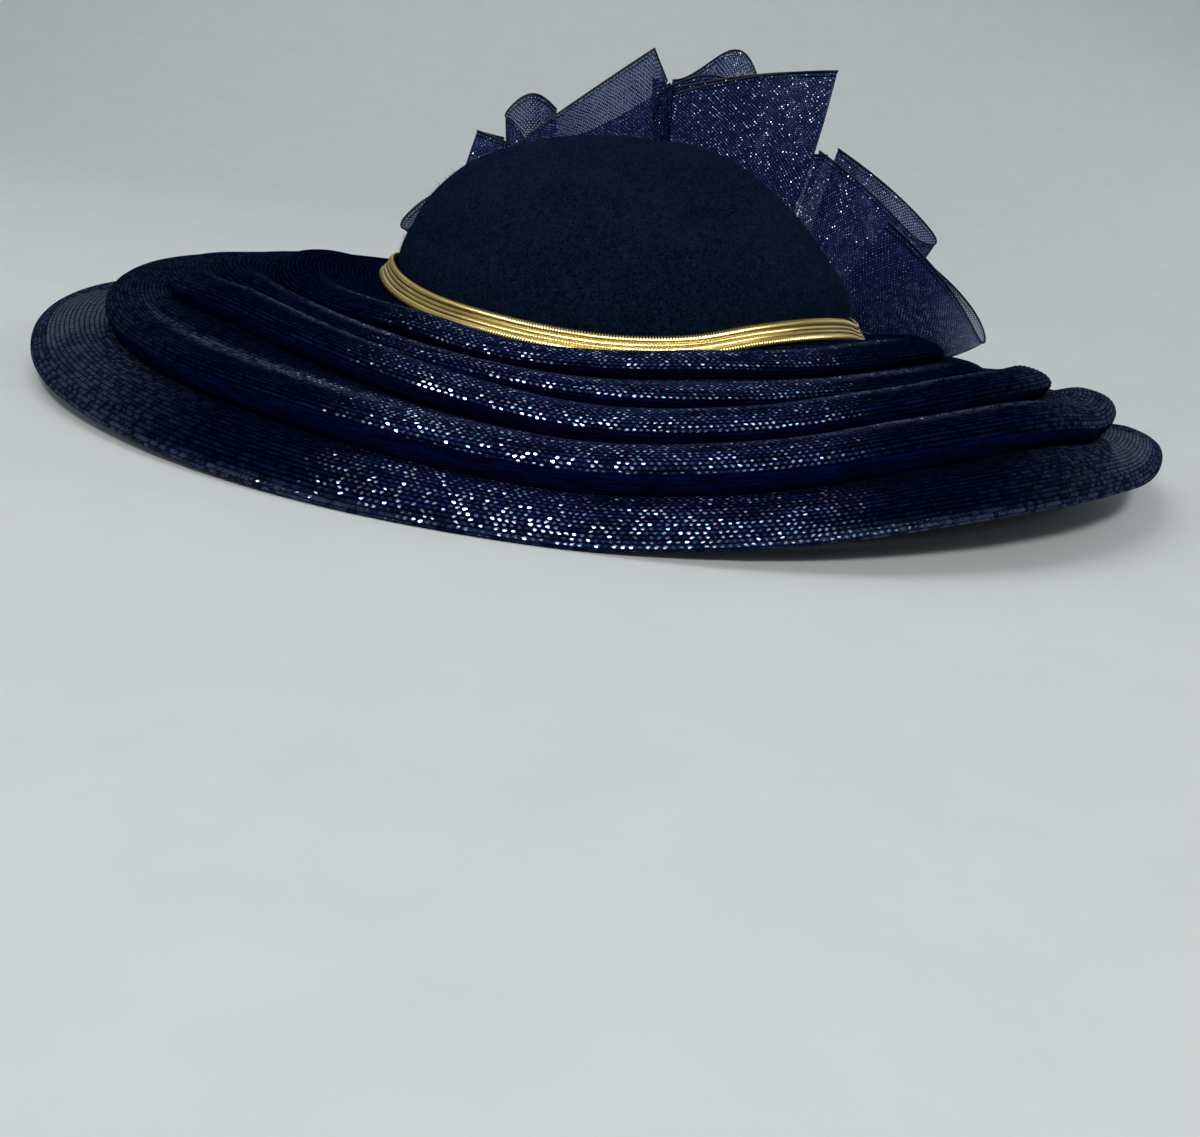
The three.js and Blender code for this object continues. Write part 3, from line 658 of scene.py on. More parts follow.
def braid_finish(colours, name, clear):
    """Fine braid: in each rib a row of slanting stitches, set half a stitch on from the rib
    beside it. Each stitch has a knot. Where the mark "catch" paints the braid as catching the
    light, the knots glint, few of them brightly, their facets mirroring the lamps, and the thread
    is painted lighter. Painted highlights make the thread paler along a crest and on the tops of
    the ribs, painted light makes it bluer on the side under a nose, and painted shade darkens it
    between two ribs. Between the stitches are slots that let a share of the light through."""
    f = Finish(name)
    u, v, _ = f.parts(f.pattern())
    catch, crest, under = (f.mark(name) for name in ("catch", "crest", "under"))
    rib = f.math("FLOOR", v)
    across = f.math("FRACT", v)
    wander = f.noise(f.stretch(f.pattern(), 0.12, 0.9), 1.0, 2)
    stitch = f.times_plus(f.math("MODULO", rib, 2.0), 0.5, u)
    stitch = f.times_plus(wander, 1.4, stitch)
    along = f.math("FRACT", stitch)
    from_middle = f.apart(across, 0.5)
    chance, hue, second, leaning = cell_chance(f, f.math("FLOOR", stitch), rib)
    from_knot = f.apart(along, 0.5)
    slant = f.math("SINE", f.times(f.times_plus(from_middle, 1.3, stitch), 2 * np.pi))
    wide, tall = (f.math("POWER", f.math("DIVIDE", distance, half), 2.0)
                  for distance, half in ((from_knot, 0.26), (from_middle, 0.36)))
    knot = f.range(f.math("ADD", wide, tall), 1.0, 0.40)
    patches = f.range(f.noise(f.stretch(f.pattern(), 0.06, 0.30), 1.0, 3), 0.34, 0.62, 0.15)
    # Painted light: the mark "catch" says where the braid is painted as catching the light. There
    # the knots glint, their facets mirroring the lamps, and the thread is painted lighter.
    lit = f.times(catch, patches)
    few = f.range(chance, f.times_plus(lit, -0.34, 0.98), 1.0)
    dim = f.times_plus(f.math("POWER", chance, 2.5), 0.48, 0.03)
    bright = f.times(f.times_plus(few, 0.95, dim), lit)
    glint = f.math("MINIMUM", f.times(knot, bright), 1.0)
    tone = f.noise(f.stretch(f.pattern(), 0.15, 0.5), 1.0, 3)
    light = f.times_plus(slant, 0.06, f.times_plus(second, 0.08, tone))
    # Painted light: the thread is painted lighter where it catches the light, and lighter and
    # bluer on the side under a nose, which stands for light that comes through the braid.
    light = f.times_plus(lit, 0.36, f.times_plus(under, 0.14, light))
    base = f.mix(f.range(light, 0.43, 1.10), rgba(colours.braid_deep), rgba(colours.braid_light))
    # Painted highlight: paler thread along a lit crest, at the thin sides of the outermost tier
    # and at the ends of the tiers (the mark "crest"), and a faint one on the tops of the ribs
    # away from a nose.
    mottled = f.range(f.times_plus(slant, 0.25, second), 0.10, 0.95, 0.10, 0.70)
    rib_top_painted_highlight = f.range(from_middle, 0.40, 0.10, 0.0, 0.10)
    rib_top_painted_highlight = f.times(rib_top_painted_highlight, f.math("SUBTRACT", 1.0, under))
    pale = f.times(f.math("ADD", crest, rib_top_painted_highlight), mottled)
    base = f.mix(pale, base, rgba(colours.braid_painted_highlight))
    # Painted shade: the thread is darkened between two ribs, less so under a nose.
    groove = f.times(f.range(from_middle, 0.30, 0.48), f.times_plus(under, -0.5, 0.80))
    base = f.mix(groove, base, rgba(colours.braid_painted_groove_shade))
    relief = f.times_plus(slant, 0.5, f.times(knot, 0.8))
    thread = f.add("BsdfPrincipled", {"Base Color": base, "Roughness": 0.5,
                                      "Specular IOR Level": 0.0,
                                      "Normal": f.bump(relief, 0.5, 0.0003)})
    thread = f.mix_shaders(glint, thread, facet(f, hue, leaning))
    slot = f.times(f.range(from_knot, 0.24, 0.42), f.range(from_middle, 0.45, 0.26))
    clear_share = f.times(f.times_plus(slot, clear, clear * 0.06), f.math("SUBTRACT", 1.0, glint))
    return f.finish(f.mix_shaders(clear_share, thread, f.clear_way()))


def net_finish(colours, sizes, name="navy_net", density=0.0):
    """Stiff net: two sets of slanting threads about a millimetre apart with a finer film
    between them, painted pale at some crossings as a painted glint and glinting there from facets
    that mirror the lamps, and a line along the hem. It is denser where the ribbon is gathered."""
    f = Finish(name)
    pattern = f.pattern()
    u, v, _ = f.parts(pattern)
    gathered = f.mark("gathered")
    wobble = f.times(f.noise(pattern, 0.09, 2), 2.6)
    count = np.pi / sizes.net_cell
    rising = f.times(f.math("ADD", f.math("ADD", u, v), wobble), count)
    falling = f.times(f.math("SUBTRACT", f.math("SUBTRACT", u, v), wobble), count)
    one, other = (f.math("ABSOLUTE", f.math("SINE", turn)) for turn in (rising, falling))
    weave = f.math("MAXIMUM", f.range(one, 0.93, 0.66), f.range(other, 0.93, 0.66))
    crossing = f.range(f.math("ADD", one, other), 0.90, 0.35)
    chance, hue, second, leaning = cell_chance(
        f, *(f.math("FLOOR", f.times_plus(turn, 1 / np.pi, 0.5)) for turn in (rising, falling)))
    few, many = f.range(chance, 0.90, 1.0), f.range(chance, 0.2, 1.0)
    glint = f.times(crossing, f.times_plus(few, 0.11, f.times(many, 0.05)))
    hem = f.math("MAXIMUM", f.range(v, 0.8, 0.5), f.range(f.apart(v, 1.9), 0.35, 0.12))
    film = f.times_plus(f.noise(pattern, 0.10, 3), 0.14, 0.21 + density)
    opaque = f.times_plus(weave, 0.68, f.times_plus(gathered, 0.50, film))
    opaque = f.math("MINIMUM", f.math("MAXIMUM", opaque, f.times(hem, 0.94)), 1.0)
    near_thread = f.range(f.math("MINIMUM", one, other), 0.55, 0.15)
    tone = f.times_plus(f.noise(pattern, 0.22, 3), 0.55, f.times(near_thread, 0.40))
    tone = f.times_plus(second, 0.22, tone)
    base = f.mix(f.range(tone, 0.20, 0.95), rgba(colours.net_deep), rgba(colours.net_light))
    # Painted glint: some crossings are painted pale, as glints that need no lamp.
    pale = f.times(crossing, f.math("POWER", chance, 3.5))
    base = f.mix(pale, base, rgba(colours.net_painted_glint))
    base = f.mix(hem, base, rgba(colours.hem))
    thread = f.add("BsdfPrincipled", {"Base Color": base, "Roughness": 0.5,
                                      "Specular IOR Level": 0.0,
                                      "Normal": f.bump(weave, 0.4, 0.0002)})
    body = f.mix_shaders(0.25, thread, f.add("BsdfTranslucent", {"Color": base}))
    body = f.mix_shaders(glint, body, facet(f, hue, leaning))
    return f.finish(f.mix_shaders(opaque, f.clear_way(), body))


def edge_thread_finish(colours):
    """The cord in the ribbon's edge: twisted and nearly black."""
    f = Finish("edge_thread")
    twist = f.noise(f.place(), 1500, 2)
    colour = f.mix(twist, rgba(colours.hem), rgba(colours.net_deep))
    return f.finish(f.add("BsdfPrincipled", {
        "Base Color": colour, "Roughness": 0.5, "Specular IOR Level": 0.1,
        "Normal": f.bump(twist, 0.4, 0.0002)}))


def gold_finish(colours):
    """Metallic cord braid: fine thread wound across each cord, a painted highlight along the
    middle of each cord, and painted shade, darker and browner, in the grooves and the notches
    along both edges."""
    f = Finish("gold_cord")
    u, v, _ = f.parts(f.pattern())
    wound = f.math("SINE", f.times(f.times_plus(v, 0.6, u), 2 * np.pi))
    groove = f.math("ABSOLUTE", f.math("SINE", f.times(v, np.pi)))
    uneven = f.noise(f.stretch(f.pattern(), 0.02, 1.0), 1.0, 2)
    # Painted highlight: the cord is painted lighter along its middle, where the groove value is
    # highest.
    light = f.times_plus(wound, 0.26, f.times_plus(groove, 0.35, uneven))
    colour = f.mix(f.range(light, 0.30, 1.05), rgba(colours.gold_deep), rgba(colours.gold_light))
    # Painted shade: the cord darkens and browns towards the grooves between the cords.
    colour = f.mix(f.range(groove, 0.42, 0.05, 0.0, 0.75), colour, rgba(colours.gold_painted_groove_shade))
    # Painted shade in the notches between the purls along both edges.
    edge = f.range(f.apart(v, 2.0), 1.45, 1.75)
    notch = f.range(f.math("SINE", f.times(u, np.pi)), 0.2, -0.6, 0.0, 0.8)
    colour = f.mix(f.times(edge, notch), colour, rgba(colours.gold_painted_groove_shade))
    return f.finish(f.add("BsdfPrincipled", {
        "Base Color": colour, "Metallic": 1.0, "Roughness": 0.32,
        "Normal": f.bump(wound, 0.25, 0.0002)}))


def wall_finish(colour):
    """Plain paper, a little darker in soft clouds."""
    f = Finish("studio_paper")
    clouds = f.noise(f.place(), 40, 4)
    tone = f.mix(f.range(clouds, 0.3, 0.7), rgba(np.array(colour) * 0.97), rgba(colour))
    return f.finish(f.add("BsdfPrincipled", {"Base Color": tone, "Roughness": 0.9,
                                             "Specular IOR Level": 0.2}))


# Sizes and colours

def colour(name, description, value):
    return FloatVectorProperty(name=name, description=description, subtype="COLOR",
                               default=value, min=0, max=1)


class HatColours(PropertyGroup):
    felt_deep: colour("Felt, deep", "Darkest tone of the felt", (0.0008, 0.0026, 0.0080))
    felt_light: colour("Felt, light", "Lightest tone of the felt", (0.0085, 0.0170, 0.0470))
    fibre_light: colour("Fibres, pale", "Tone of the palest fibres", (0.026, 0.052, 0.090))
    braid_deep: colour("Braid, deep", "Darkest tone of the braid", (0.0005, 0.0014, 0.0095))
    braid_light: colour("Braid, light", "Lightest tone of the braid", (0.0020, 0.0074, 0.0540))
    # Painted highlight colour of the crests, rib tops, thin sides and tier ends.
    braid_painted_highlight: colour("Braid, crest", "Tone of the lit crests", (0.060, 0.082, 0.150))
    # Painted shade between two ribs.
    braid_painted_groove_shade: colour("Braid, groove", "Tone between two ribs", (0.0002, 0.0006, 0.0045))
    net_deep: colour("Net, deep", "Darkest tone of the net", (0.0035, 0.0065, 0.0360))
    net_light: colour("Net, light", "Lightest tone of the net", (0.0290, 0.0460, 0.1700))
    # Painted glint where the net's threads cross.
    net_painted_glint: colour("Net, pale", "Tone where the net's threads cross", (0.3800, 0.4500, 0.7000))
    hem: colour("Hem", "Tone of the ribbon's edge", (0.0015, 0.0018, 0.0080))
    gold_deep: colour("Gold, deep", "Deeper tone of the gold cord", (0.15, 0.110, 0.030))
    gold_light: colour("Gold, light", "Lightest tone of the gold cord", (0.50, 0.405, 0.16))
    # Painted shade between the gold cords and in the notches of the edges.
    gold_painted_groove_shade: colour("Gold, groove", "Tone between the gold cords", (0.08, 0.050, 0.012))
    paper: colour("Floor", "Tone of the floor and the backdrop", (0.70, 0.735, 0.735))


class HatSizes(PropertyGroup):
    felt_wall: FloatProperty(
        name="Felt thickness", description="Thickness of the felt in millimetres",
        default=2.0, min=0.5, max=4)
    rib_pitch: FloatProperty(
        name="Rib pitch", description="Distance between the braid's ribs in millimetres",
        default=1.3, min=0.6, max=4)
    rib_height: FloatProperty(
        name="Rib height", description="Height of the braid's ribs in millimetres",
        default=0.22, min=0, max=1)
    stitch_pitch: FloatProperty(
        name="Stitch pitch", description="Distance between stitches along a rib in millimetres",
        default=1.9, min=0.8, max=6)
    braid_columns: IntProperty(
        name="Braid steps", description="Steps around the brim", default=300, min=60, max=720)
    gold_purls: IntProperty(
        name="Purls", description="Small scallops along each edge of the gold braid",
        default=600, min=60, max=1000)
    net_cell: FloatProperty(
        name="Net cell", description="Width of one cell of the net in millimetres",
        default=1.6, min=0.5, max=4)
    fibres: IntProperty(
        name="Fibres", description="Loose fibres standing on the felt", default=26000,
        min=0, max=40000)
    fibre_length: FloatProperty(
        name="Fibre length", description="Mean length of a loose fibre in millimetres",
        default=1.3, min=0.2, max=5)


# Pieces

class HAT_OT_stage(Operator):
    """Lay the floor and backdrop, the lights and the camera"""
    bl_idname = "hat.stage"
    bl_label = "Stage"

    def execute(self, context):
        scene = context.scene
        self.lay_floor(scene)
        self.hang_lights(scene)
        self.set_camera(scene)
        return {"FINISHED"}

    def lay_floor(self, scene):
        """A floor that turns up into a backdrop through a quarter circle."""
        bend = np.linspace(0, np.pi / 2, 24)
        y = np.concatenate([[-FLOOR_NEAR, FLOOR_FAR], FLOOR_FAR + FLOOR_BEND * np.sin(bend[1:]),
                            [FLOOR_FAR + FLOOR_BEND]])
        z = np.concatenate([[0, 0], FLOOR_BEND - FLOOR_BEND * np.cos(bend[1:]), [BACKDROP_TOP]])
        x = np.linspace(-FLOOR_HALF, FLOOR_HALF, 3)
        points = np.stack(np.broadcast_arrays(x[None, :], y[:, None], z[:, None]), axis=-1)
        uv = points[..., :2].copy()
        points[..., 2] -= FLOOR_BELOW
        floor = grid_piece("floor", points, uv, wall_finish(scene.hat_colours.paper), None,
                           around=False)

    def hang_lights(self, scene):
        """A small key lamp in front, a broad soft lamp above, one at each side, one behind, and
        a long one in front that only shows as a gleam."""
        for name, place, size, power, colour in LAMPS:
            lamp = bpy.data.lights.new(name, "AREA")
            lamp.shape = "RECTANGLE"
            lamp.size, lamp.size_y = size
            lamp.energy = power
            lamp.color = colour
            hung = bpy.data.objects.new(name, lamp)
            hung.location = place
            hung.rotation_euler = Matrix(aim_matrix(LAMP_TARGET - place)).to_euler()
            hung.visible_diffuse = name != "gleam"
            scene.collection.objects.link(hung)
        world = scene.world or bpy.data.worlds.new("studio")
        scene.world = world
        world.use_nodes = True
        background = world.node_tree.nodes["Background"]
        background.inputs["Color"].default_value = WORLD_COLOUR
        background.inputs["Strength"].default_value = WORLD_STRENGTH

    def set_camera(self, scene):
        """Stands where the crown's base falls on its picture point, at the picture's scale."""
        pitch, roll = np.radians((VIEW_PITCH, VIEW_ROLL))
        focal = VIEW_DISTANCE / VIEW_SCALE
        turned = np.array([[np.cos(roll), -np.sin(roll), 0], [np.sin(roll), np.cos(roll), 0],
                           [0, 0, 1]])
        right = turned @ np.array([1, 0, 0])
        back = turned @ np.array([0, -np.sin(pitch), np.cos(pitch)])
        up = turned @ np.array([0, -np.cos(pitch), -np.sin(pitch)])
        seen = np.array([(CROWN_BASE_PIXEL[0] - PICTURE_SIZE[0] / 2) / focal,
                         (CROWN_BASE_PIXEL[1] - PICTURE_SIZE[1] / 2) / focal, 1]) * VIEW_DISTANCE
        axes = np.stack([right, back, up], axis=1)
        place = CROWN_BASE - axes.T @ seen
        turn = np.eye(4)
        turn[:3, :3] = (np.diag([1, -1, -1]) @ axes).T
        turn[:3, 3] = place * 0.001
        camera = bpy.data.objects.new("camera", bpy.data.cameras.new("camera"))
        camera.matrix_world = Matrix(turn.tolist())
        camera.data.sensor_width = SENSOR_WIDTH
        camera.data.sensor_fit = "HORIZONTAL"
        camera.data.lens = focal * SENSOR_WIDTH / PICTURE_SIZE[0]
        camera.data.clip_start = 0.01
        scene.collection.objects.link(camera)
        scene.camera = camera
        scene.view_settings.view_transform = "Standard"


def aim_matrix(ahead):
    """Turns a lamp's -Z towards a direction: columns are its right, up and backward axes."""
    back = -np.asarray(ahead, float) / np.linalg.norm(ahead)
    right = np.cross([0.0, 0.0, 1.0], back)
    right /= np.linalg.norm(right)
    return np.stack([right, np.cross(back, right), back], axis=1).tolist()


class HAT_OT_felt(Operator):
    """Make the felt crown and brim, and the loose fibres on it"""
    bl_idname = "hat.felt"
    bl_label = "Felt"

    def execute(self, context):
        sizes, colours = context.scene.hat_sizes, context.scene.hat_colours
        degrees = np.arange(FELT_COLUMNS) * 360.0 / FELT_COLUMNS
        coarse, seam_mean = felt_rows(degrees, FELT_CROWN_ROWS)
        smooth = smooth_rows(coarse, FELT_SPAN_STEPS)
        normals = grid_normals(smooth, True)
        outer = smooth + self.dents(degrees, len(smooth))[..., None] * normals
        inner = outer - sizes.felt_wall * normals
        lip = (outer[-1] + inner[-1]) / 2 + LIP_BULGE * (outer[-1] - outer[-2])
        rows = np.concatenate([outer, lip[None], inner[::-1]])
        top = np.array([[CROWN_CENTRE + CROWN_LEAN, 0.0,
                         seam_mean + CROWN_START_ABOVE_SEAM + CROWN_HEIGHT]])
        under = top - np.array([[0, 0, sizes.felt_wall]])
        uv = corner_uv(ring_uv(np.arange(len(rows)), len(degrees), 1.0))
        quads = grid_quads(*rows.shape[:2], True)
        caps = self.caps(*rows.shape[:2])
        points = np.concatenate([rows.reshape(-1, 3), top, under])
        felt = piece_from_faces("felt_crown_and_brim", points, [quads, caps],
                                [uv, np.zeros((len(caps) * 3, 2))],
                                felt_finish(colours), "felt")
        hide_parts("felt_body")
        self.raise_fibres(outer, normals, sizes, colours)
        return {"FINISHED"}

    def dents(self, degrees, rows):
        """Shallow dents: one sine round the hat times another down it, fading out at the top
        and under the braid."""
        turn = np.radians(degrees)[None, :]
        run = np.linspace(0, 1, rows)[:, None]
        dent = DENT_DEPTH * np.sin(3 * turn + 9 * run) * np.sin(7 * run * np.pi + 2 * turn)
        return dent * smooth_step(run * 8) * smooth_step((0.7 - run) * 6)

    def caps(self, rows, columns):
        """Triangles from the first row to the point on top, which follows the grid's points,
        and from the last row to the point under it."""
        column = np.arange(columns)
        beside = (column + 1) % columns
        top, last = rows * columns, (rows - 1) * columns
        return np.concatenate([
            np.stack([np.full(columns, top), column, beside], axis=1),
            np.stack([np.full(columns, top + 1), last + beside, last + column], axis=1)])

    def raise_fibres(self, outer, normals, sizes, colours):
        """Each fibre is a bent strip of two quads from a random point of the crown, leaning
        away from the face by a random turn. Narrow rows near the top get fewer of them."""
        chance = np.random.default_rng(7)
        crown_rows = int(len(outer) * FIBRES_DOWN_TO)
        row = chance.integers(1, crown_rows, sizes.fibres)
        weight = np.linalg.norm(outer[row, 0] - outer[row, FELT_COLUMNS // 2], axis=1)
        row = row[chance.random(sizes.fibres) < weight / weight.max()]
        column = chance.integers(0, outer.shape[1], len(row))
        beside = (column + 1) % outer.shape[1]
        share = chance.random((len(row), 1))
        low = outer[row, column] * (1 - share) + outer[row, beside] * share
        share = chance.random((len(row), 1))
        foot = low * (1 - share) + outer[row - 1, column] * share
        normal = normals[row, column]
        lean = chance.normal(size=(len(row), 3))
        lean -= (lean * normal).sum(1, keepdims=True) * normal
        length = sizes.fibre_length * chance.gamma(3.0, 1 / 3.0, (len(row), 1))
        middle = foot + 0.45 * length * (0.55 * normal + 0.45 * lean)
        end = middle + 0.55 * length * (0.25 * normal + 0.6 * lean
                                        + 0.3 * chance.normal(size=(len(row), 3)))
        side = np.cross(normal, lean)
        side *= FIBRE_HALF_WIDTH / np.maximum(np.linalg.norm(side, axis=1, keepdims=True), 1e-9)
        foot = foot - 0.1 * normal
        strip = np.stack([foot - side, foot + side, middle - side, middle + side,
                          end - 0.4 * side, end + 0.4 * side], axis=1)
        first = 6 * np.arange(len(row))[:, None]
        quads = np.concatenate([first + np.array([0, 1, 3, 2]), first + np.array([2, 3, 5, 4])])
        piece_from_faces("felt_fibres", strip.reshape(-1, 3), [quads],
                         [np.zeros((quads.size, 2))], fuzz_finish(colours), "felt")


class HAT_OT_braid(Operator):
    """Make the ribbed braid of the tiered brim"""
    bl_idname = "hat.braid"
    bl_label = "Braid brim"

    def execute(self, context):
        sizes, colours = context.scene.hat_sizes, context.scene.hat_colours
        degrees = np.arange(sizes.braid_columns) * 360.0 / sizes.braid_columns
        rolled_finish = braid_finish(colours, "navy_braid", ROLLED_CLEAR)
        edge_finish = braid_finish(colours, "navy_braid_edge", EDGE_CLEAR)
        groups = braid_rows(degrees)
        joined = np.concatenate([groups[0]] + [rows[1:] for rows in groups[1:]])
        fine = smooth_rows(joined, BRAID_SPAN_STEPS)
        rib = first = 0
        for number, group in enumerate(groups, start=1):
            edge = number == len(groups)
            last = first + BRAID_SPAN_STEPS * (len(group) - 1)
            rows = fine[first:last + 1]
            first = last
            crests = rows[BRAID_SPAN_STEPS * (EDGE_ROW if edge else CREST_ROW)]
            run = np.linalg.norm(np.diff(rows, axis=0), axis=2).sum(0).mean()
            ribs = int(round(run / sizes.rib_pitch))
            rows = even_rows(rows, RIB_STEPS * ribs + 1)
            normals = grid_normals(rows, True)
            marks = self.marks(rows, normals, crests, edge)
            rounded = np.abs(np.sin(np.pi * np.arange(len(rows)) / RIB_STEPS)) ** RIB_ROUNDNESS
            rows = rows + (sizes.rib_height * rounded)[:, None, None] * normals
            around = np.linalg.norm(rows - np.roll(rows, 1, axis=1), axis=2).sum(1)
            stitches = np.round(around[RIB_STEPS // 2::RIB_STEPS] / sizes.stitch_pitch)
            tier_piece = piece_from_faces(
                f"braid_tier_{number}", rows.reshape(-1, 3), [grid_quads(*rows.shape[:2], True)],
                [rib_corner_uv(rib, stitches, RIB_STEPS, len(degrees))],
                edge_finish if edge else rolled_finish, "braid", marks)
            rib += ribs
            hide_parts("braid_brim")
        return {"FINISHED"}

    def marks(self, rows, normals, crests, edge):
        """Marks that the material turns into painted light: how near each point is to a lit
        crest, how much it lies under a nose, and how much it catches the light. It catches it
        where its normal lies near one direction, above the viewer, and towards the middle of the
        front; a little further to the sides only the crest does. The outermost tier is painted
        paler at both sides, where it is thin, as light through it, and so are the ends of all
        tiers that face up, as reflected light, more so on the right."""
        crest = np.exp(-(np.linalg.norm(rows - crests[None], axis=2) / CREST_WIDTH) ** 2)
        # Painted light: where the braid catches the light, from the normal's nearness to one
        # direction and the place at the front.
        facing = smooth_step((normals @ CATCH_DIRECTION - CATCH_FROM) / CATCH_FADE)
        aside = np.abs(rows[..., 0] - CROWN_CENTRE)
        middle = smooth_step((CATCH_MIDDLE - aside) / 30)
        further = smooth_step((CATCH_FURTHER - aside) / 20) * crest
        front = smooth_step(-rows[..., 1] / 70)
        # Painted light: the sides under a nose at the front are marked to be painted lighter and
        # bluer.
        under = smooth_step((0.5 - normals[..., 2]) / 0.35)
        # Painted highlight along the crest, towards the front and more so at the sides.
        lit_crest = crest * smooth_step((-rows[..., 1] - 35) / 100)
        lit_crest *= 0.3 + 0.7 * smooth_step((aside - 35) / 40)
        # Painted light: the outermost tier is painted paler at both sides, where it is thin, as
        # the light that comes through it.
        thin = smooth_step((aside - THIN_FROM) / 60) * THIN_PALE if edge else 0.0
        # Painted reflection: the ends of the tiers that face up are painted paler, more so on the
        # right.
        ends = np.where(rows[..., 0] > 0, ENDS_PALE[1], ENDS_PALE[0])
        ends = ends * smooth_step((aside - ENDS_FROM) / 50)
        ends = ends * smooth_step((normals[..., 2] + 0.1) / 0.4)
        return {"catch": facing * np.maximum(middle, further) * front,
                "crest": np.maximum(np.maximum(lit_crest, thin), ends),
                "under": under * front}


class HAT_OT_gold(Operator):
    """Make the gold cord braid round the crown: half circles side by side, scalloped by a sine
    along both edges"""
    bl_idname = "hat.gold"
    bl_label = "Gold braid"

    def execute(self, context):
        sizes, colours = context.scene.hat_sizes, context.scene.hat_colours
        columns = 4 * sizes.gold_purls
        degrees = np.arange(columns) * 360.0 / columns
        edges = np.cumsum([-GOLD_WIDTH / 2, *GOLD_CORDS])
        bend = np.linspace(0, np.pi, CORD_STEPS + 1)[:-1]
        middle, half = (edges[1:] + edges[:-1]) / 2, np.diff(edges) / 2
        face = (middle[:, None] - half[:, None] * np.cos(bend)).ravel()
        height = (CORD_LIFT + CORD_ROUNDNESS * half[:, None] * np.sin(bend)).ravel()
        along = np.concatenate([face, GOLD_WIDTH / 2 * np.array([1, 1, 0, -1])])
        out = np.concatenate([height, [CORD_LIFT, -GOLD_BACK, -GOLD_BACK, -GOLD_BACK]])
        mark = np.concatenate([(np.arange(4)[:, None] + bend / np.pi).ravel(), [4, 4, 4, 0]])
        wave = np.sin(np.radians(degrees) * sizes.gold_purls)[None, :]
        outermost = smooth_step((np.abs(along) - GOLD_WIDTH / 2 + PURL_REACH) / PURL_WIDTH)
        outermost = (outermost * np.sign(along))[:, None]
        edge_along = along[:, None] + PURL_DEPTH * outermost * wave
        edge_out = out[:, None] + PURL_LIFT * (out > 0)[:, None] * wave
        slope = np.radians(GOLD_SLOPE)
        points = on_ring(
            degrees[None, :], GOLD_HALF + edge_along * np.cos(slope) + edge_out * np.sin(slope),
            CROWN_LONGER, CROWN_CENTRE,
            height_at("gold", degrees)[None, :] - edge_along * np.sin(slope)
            + edge_out * np.cos(slope))
        uv = ring_uv(np.append(mark, 0), columns, 2 * sizes.gold_purls)
        gold = grid_piece("gold_cord_braid", points, uv, gold_finish(colours), "gold",
                          wrap_rows=True)
        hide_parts("gold_braid")
        return {"FINISHED"}


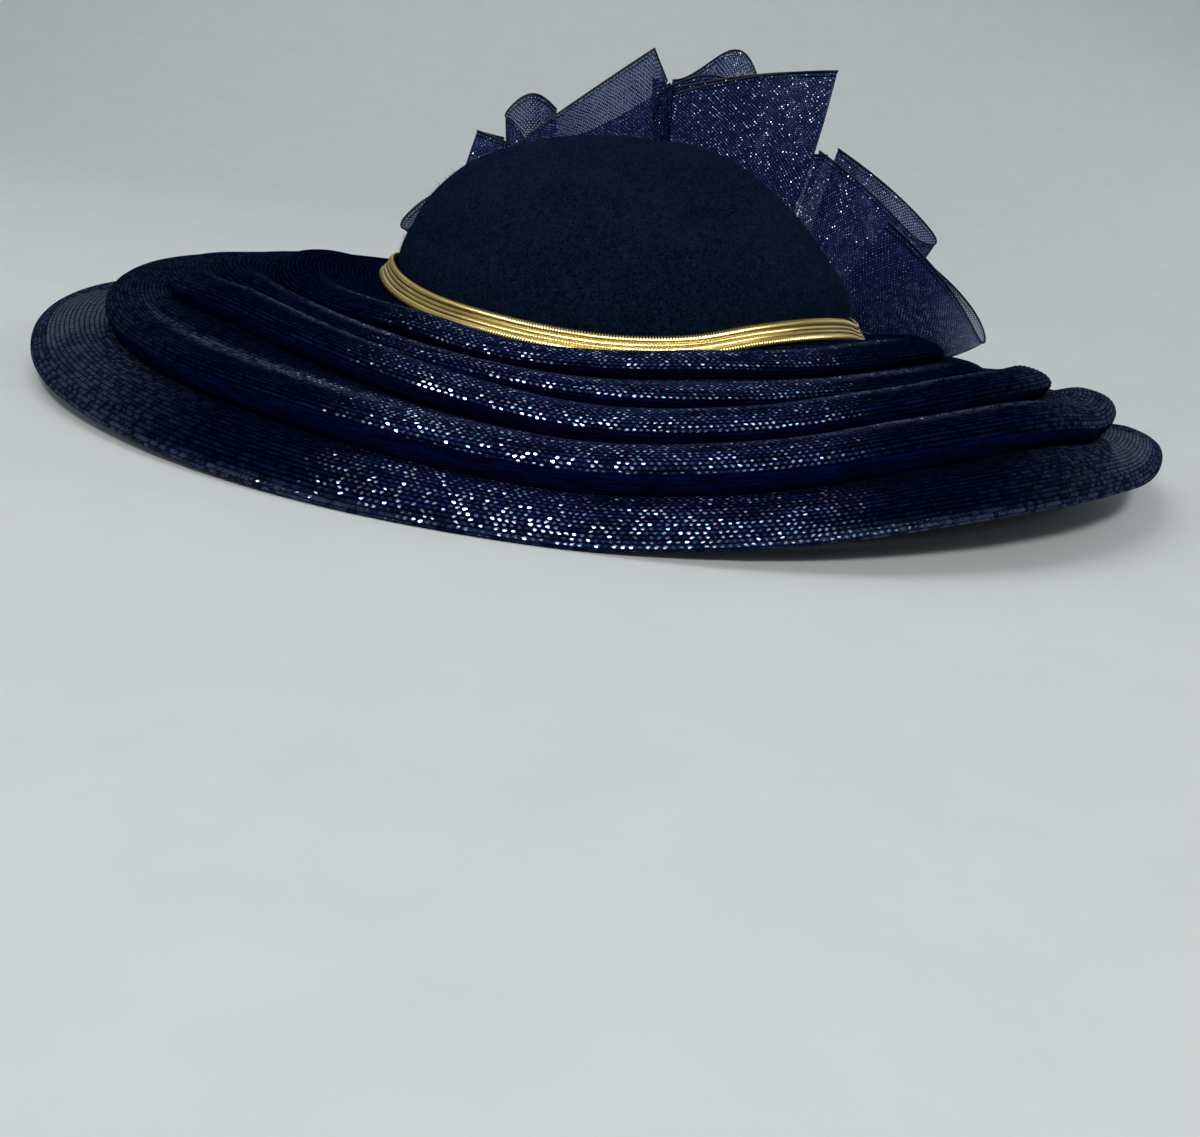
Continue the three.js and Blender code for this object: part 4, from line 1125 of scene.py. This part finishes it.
class HAT_OT_bow(Operator):
    """Make the net ribbon loops, the loose end, the gathers and the edge threads, and give the
    foot strip its net"""
    bl_idname = "hat.bow"
    bl_label = "Net bow"

    def execute(self, context):
        sizes, colours = context.scene.hat_sizes, context.scene.hat_colours
        net = net_finish(colours, sizes)
        threads = []
        for name, row in LOOPS.items():
            loop = dict(zip(LOOP_COLUMNS, row))
            points, uv, gathered = loop_surface(loop, LOOP_STEPS, LOOP_ROWS)
            self.hang_net(name + "_net", name, points, uv, gathered, net)
            threads.append(points[0])
        points, uv = self.loose_end()
        even = np.full(points.shape[:2], RIBBON_END_DENSITY)
        self.hang_net("ribbon_end_net", "ribbon_end", points, uv, even, net)
        threads.append(points[0])
        points, uv = self.gathers()
        dense = np.full(points.shape[:2], GATHERS_DENSITY)
        self.hang_net("bow_gathers_net", None, points, uv, dense, net)
        self.lay_threads(threads, edge_thread_finish(colours))
        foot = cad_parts["bow_base"]
        foot.data.materials.clear()
        foot.data.materials.append(net_finish(colours, sizes, "gathered_net", FOOT_DENSITY))
        return {"FINISHED"}

    def hang_net(self, name, node, points, uv, gathered, net):
        """Makes one net, hides its solid if it has one, and works out a flat size, at least its
        area, that nothing uses.
        """
        piece = grid_piece(name, points, uv, net, "net", around=False,
                           marks={"gathered": gathered})
        if node:
            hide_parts(node)
        length, width = uv[..., 0].max(), uv[..., 1].max()
        area = surface_area(points)
        width = max(width, 1.02 * area / length)

    def loose_end(self):
        """A strip drawn straight between its upper and lower edge, its far side cut to teeth."""
        rows, columns = 2 * RIBBON_END_TEETH + 1, 14
        down = np.linspace(0, 1, rows)[:, None]
        along = np.linspace(0, 1, columns)[None, :]
        tooth = RIBBON_END_TOOTH * (np.arange(rows)[:, None] % 2) * smooth_step(along * 8 - 7)

        def edge(ends, ring, out):
            (a0, h0), (a1, h1) = ends
            return on_bow_ring(ring, a0 + (a1 - a0) * along + tooth, h0 + (h1 - h0) * along, out)

        top = edge(RIBBON_END_UPPER, BOW_RING, RIBBON_END_RING)
        foot = edge(RIBBON_END_LOWER, FOOT_RING, FOOT_SHARE * RIBBON_END_RING)
        points = top * (1 - down[..., None]) + foot * down[..., None]
        run = np.linalg.norm(points[0, -1] - points[0, 0])
        drop = np.linalg.norm(points[-1, 0] - points[0, 0])
        uv = np.stack(np.broadcast_arrays(along * run, down * drop), axis=-1)
        return points, uv

    def gathers(self):
        """Narrow folds between two loops, where the ribbon is drawn together: a sine wave
        across a strip, whose foot lies aside of its upper edge."""
        across = np.linspace(-1, 1, 20 * GATHER_FOLDS + 1)[None, :]
        down = np.linspace(0, 1, 24)[:, None]
        (top, foot), height = GATHER_ANGLES, GATHER_HEIGHTS
        middle = top[0] + (foot[0] - top[0]) * down
        angle = middle + (top[1] + (foot[1] - top[1]) * down) * across
        wave = np.sin(np.pi * GATHER_FOLDS * across + 0.8 * down) * (1 - 0.3 * across ** 2)
        upper = height[0] + 1.5 * across - 0.5 * np.cos(np.pi * GATHER_FOLDS * across)
        away = (GATHER_RING + GATHER_DEPTH * wave) * (1 - down + FOOT_SHARE * down)
        ring = (BOW_RING[0] + (FOOT_RING[0] - BOW_RING[0]) * down, BOW_RING[1])
        points = on_bow_ring(ring, angle, upper + (height[1] - upper) * down, away)
        return points, ribbon_uv(points, down)

    def lay_threads(self, paths, finish):
        points, quads, uvs = [], [], []
        count = 0
        for path in paths:
            tube, uv = tube_surface(path, EDGE_THREAD_RADIUS, EDGE_THREAD_SIDES)
            points.append(tube.reshape(-1, 3))
            quads.append(grid_quads(*tube.shape[:2], True) + count)
            uvs.append(corner_uv(uv))
            count += len(points[-1])
        piece_from_faces("ribbon_edge_threads", np.concatenate(points), quads, uvs, finish, "net")


class HAT_PT_panel(Panel):
    bl_label = "Tiered dress hat"
    bl_idname = "HAT_PT_panel"
    bl_space_type = "VIEW_3D"
    bl_region_type = "UI"
    bl_category = "Hat"

    def draw(self, context):
        for group in (context.scene.hat_sizes, context.scene.hat_colours):
            for name in group.__annotations__:
                self.layout.prop(group, name)
        for operator in OPERATORS:
            self.layout.operator(operator.bl_idname)


OPERATORS = (HAT_OT_stage, HAT_OT_felt, HAT_OT_braid, HAT_OT_gold, HAT_OT_bow)
CLASSES = (HatColours, HatSizes, *OPERATORS, HAT_PT_panel)


def register():
    for part in CLASSES:
        bpy.utils.register_class(part)
    bpy.types.Scene.hat_colours = PointerProperty(type=HatColours)
    bpy.types.Scene.hat_sizes = PointerProperty(type=HatSizes)


def unregister():
    del bpy.types.Scene.hat_sizes
    del bpy.types.Scene.hat_colours
    for part in reversed(CLASSES):
        bpy.utils.unregister_class(part)


def main():
    register()
    bpy.ops.hat.stage()
    bpy.ops.hat.felt()
    bpy.ops.hat.braid()
    bpy.ops.hat.gold()
    bpy.ops.hat.bow()


if __name__ == "__main__":
    main()
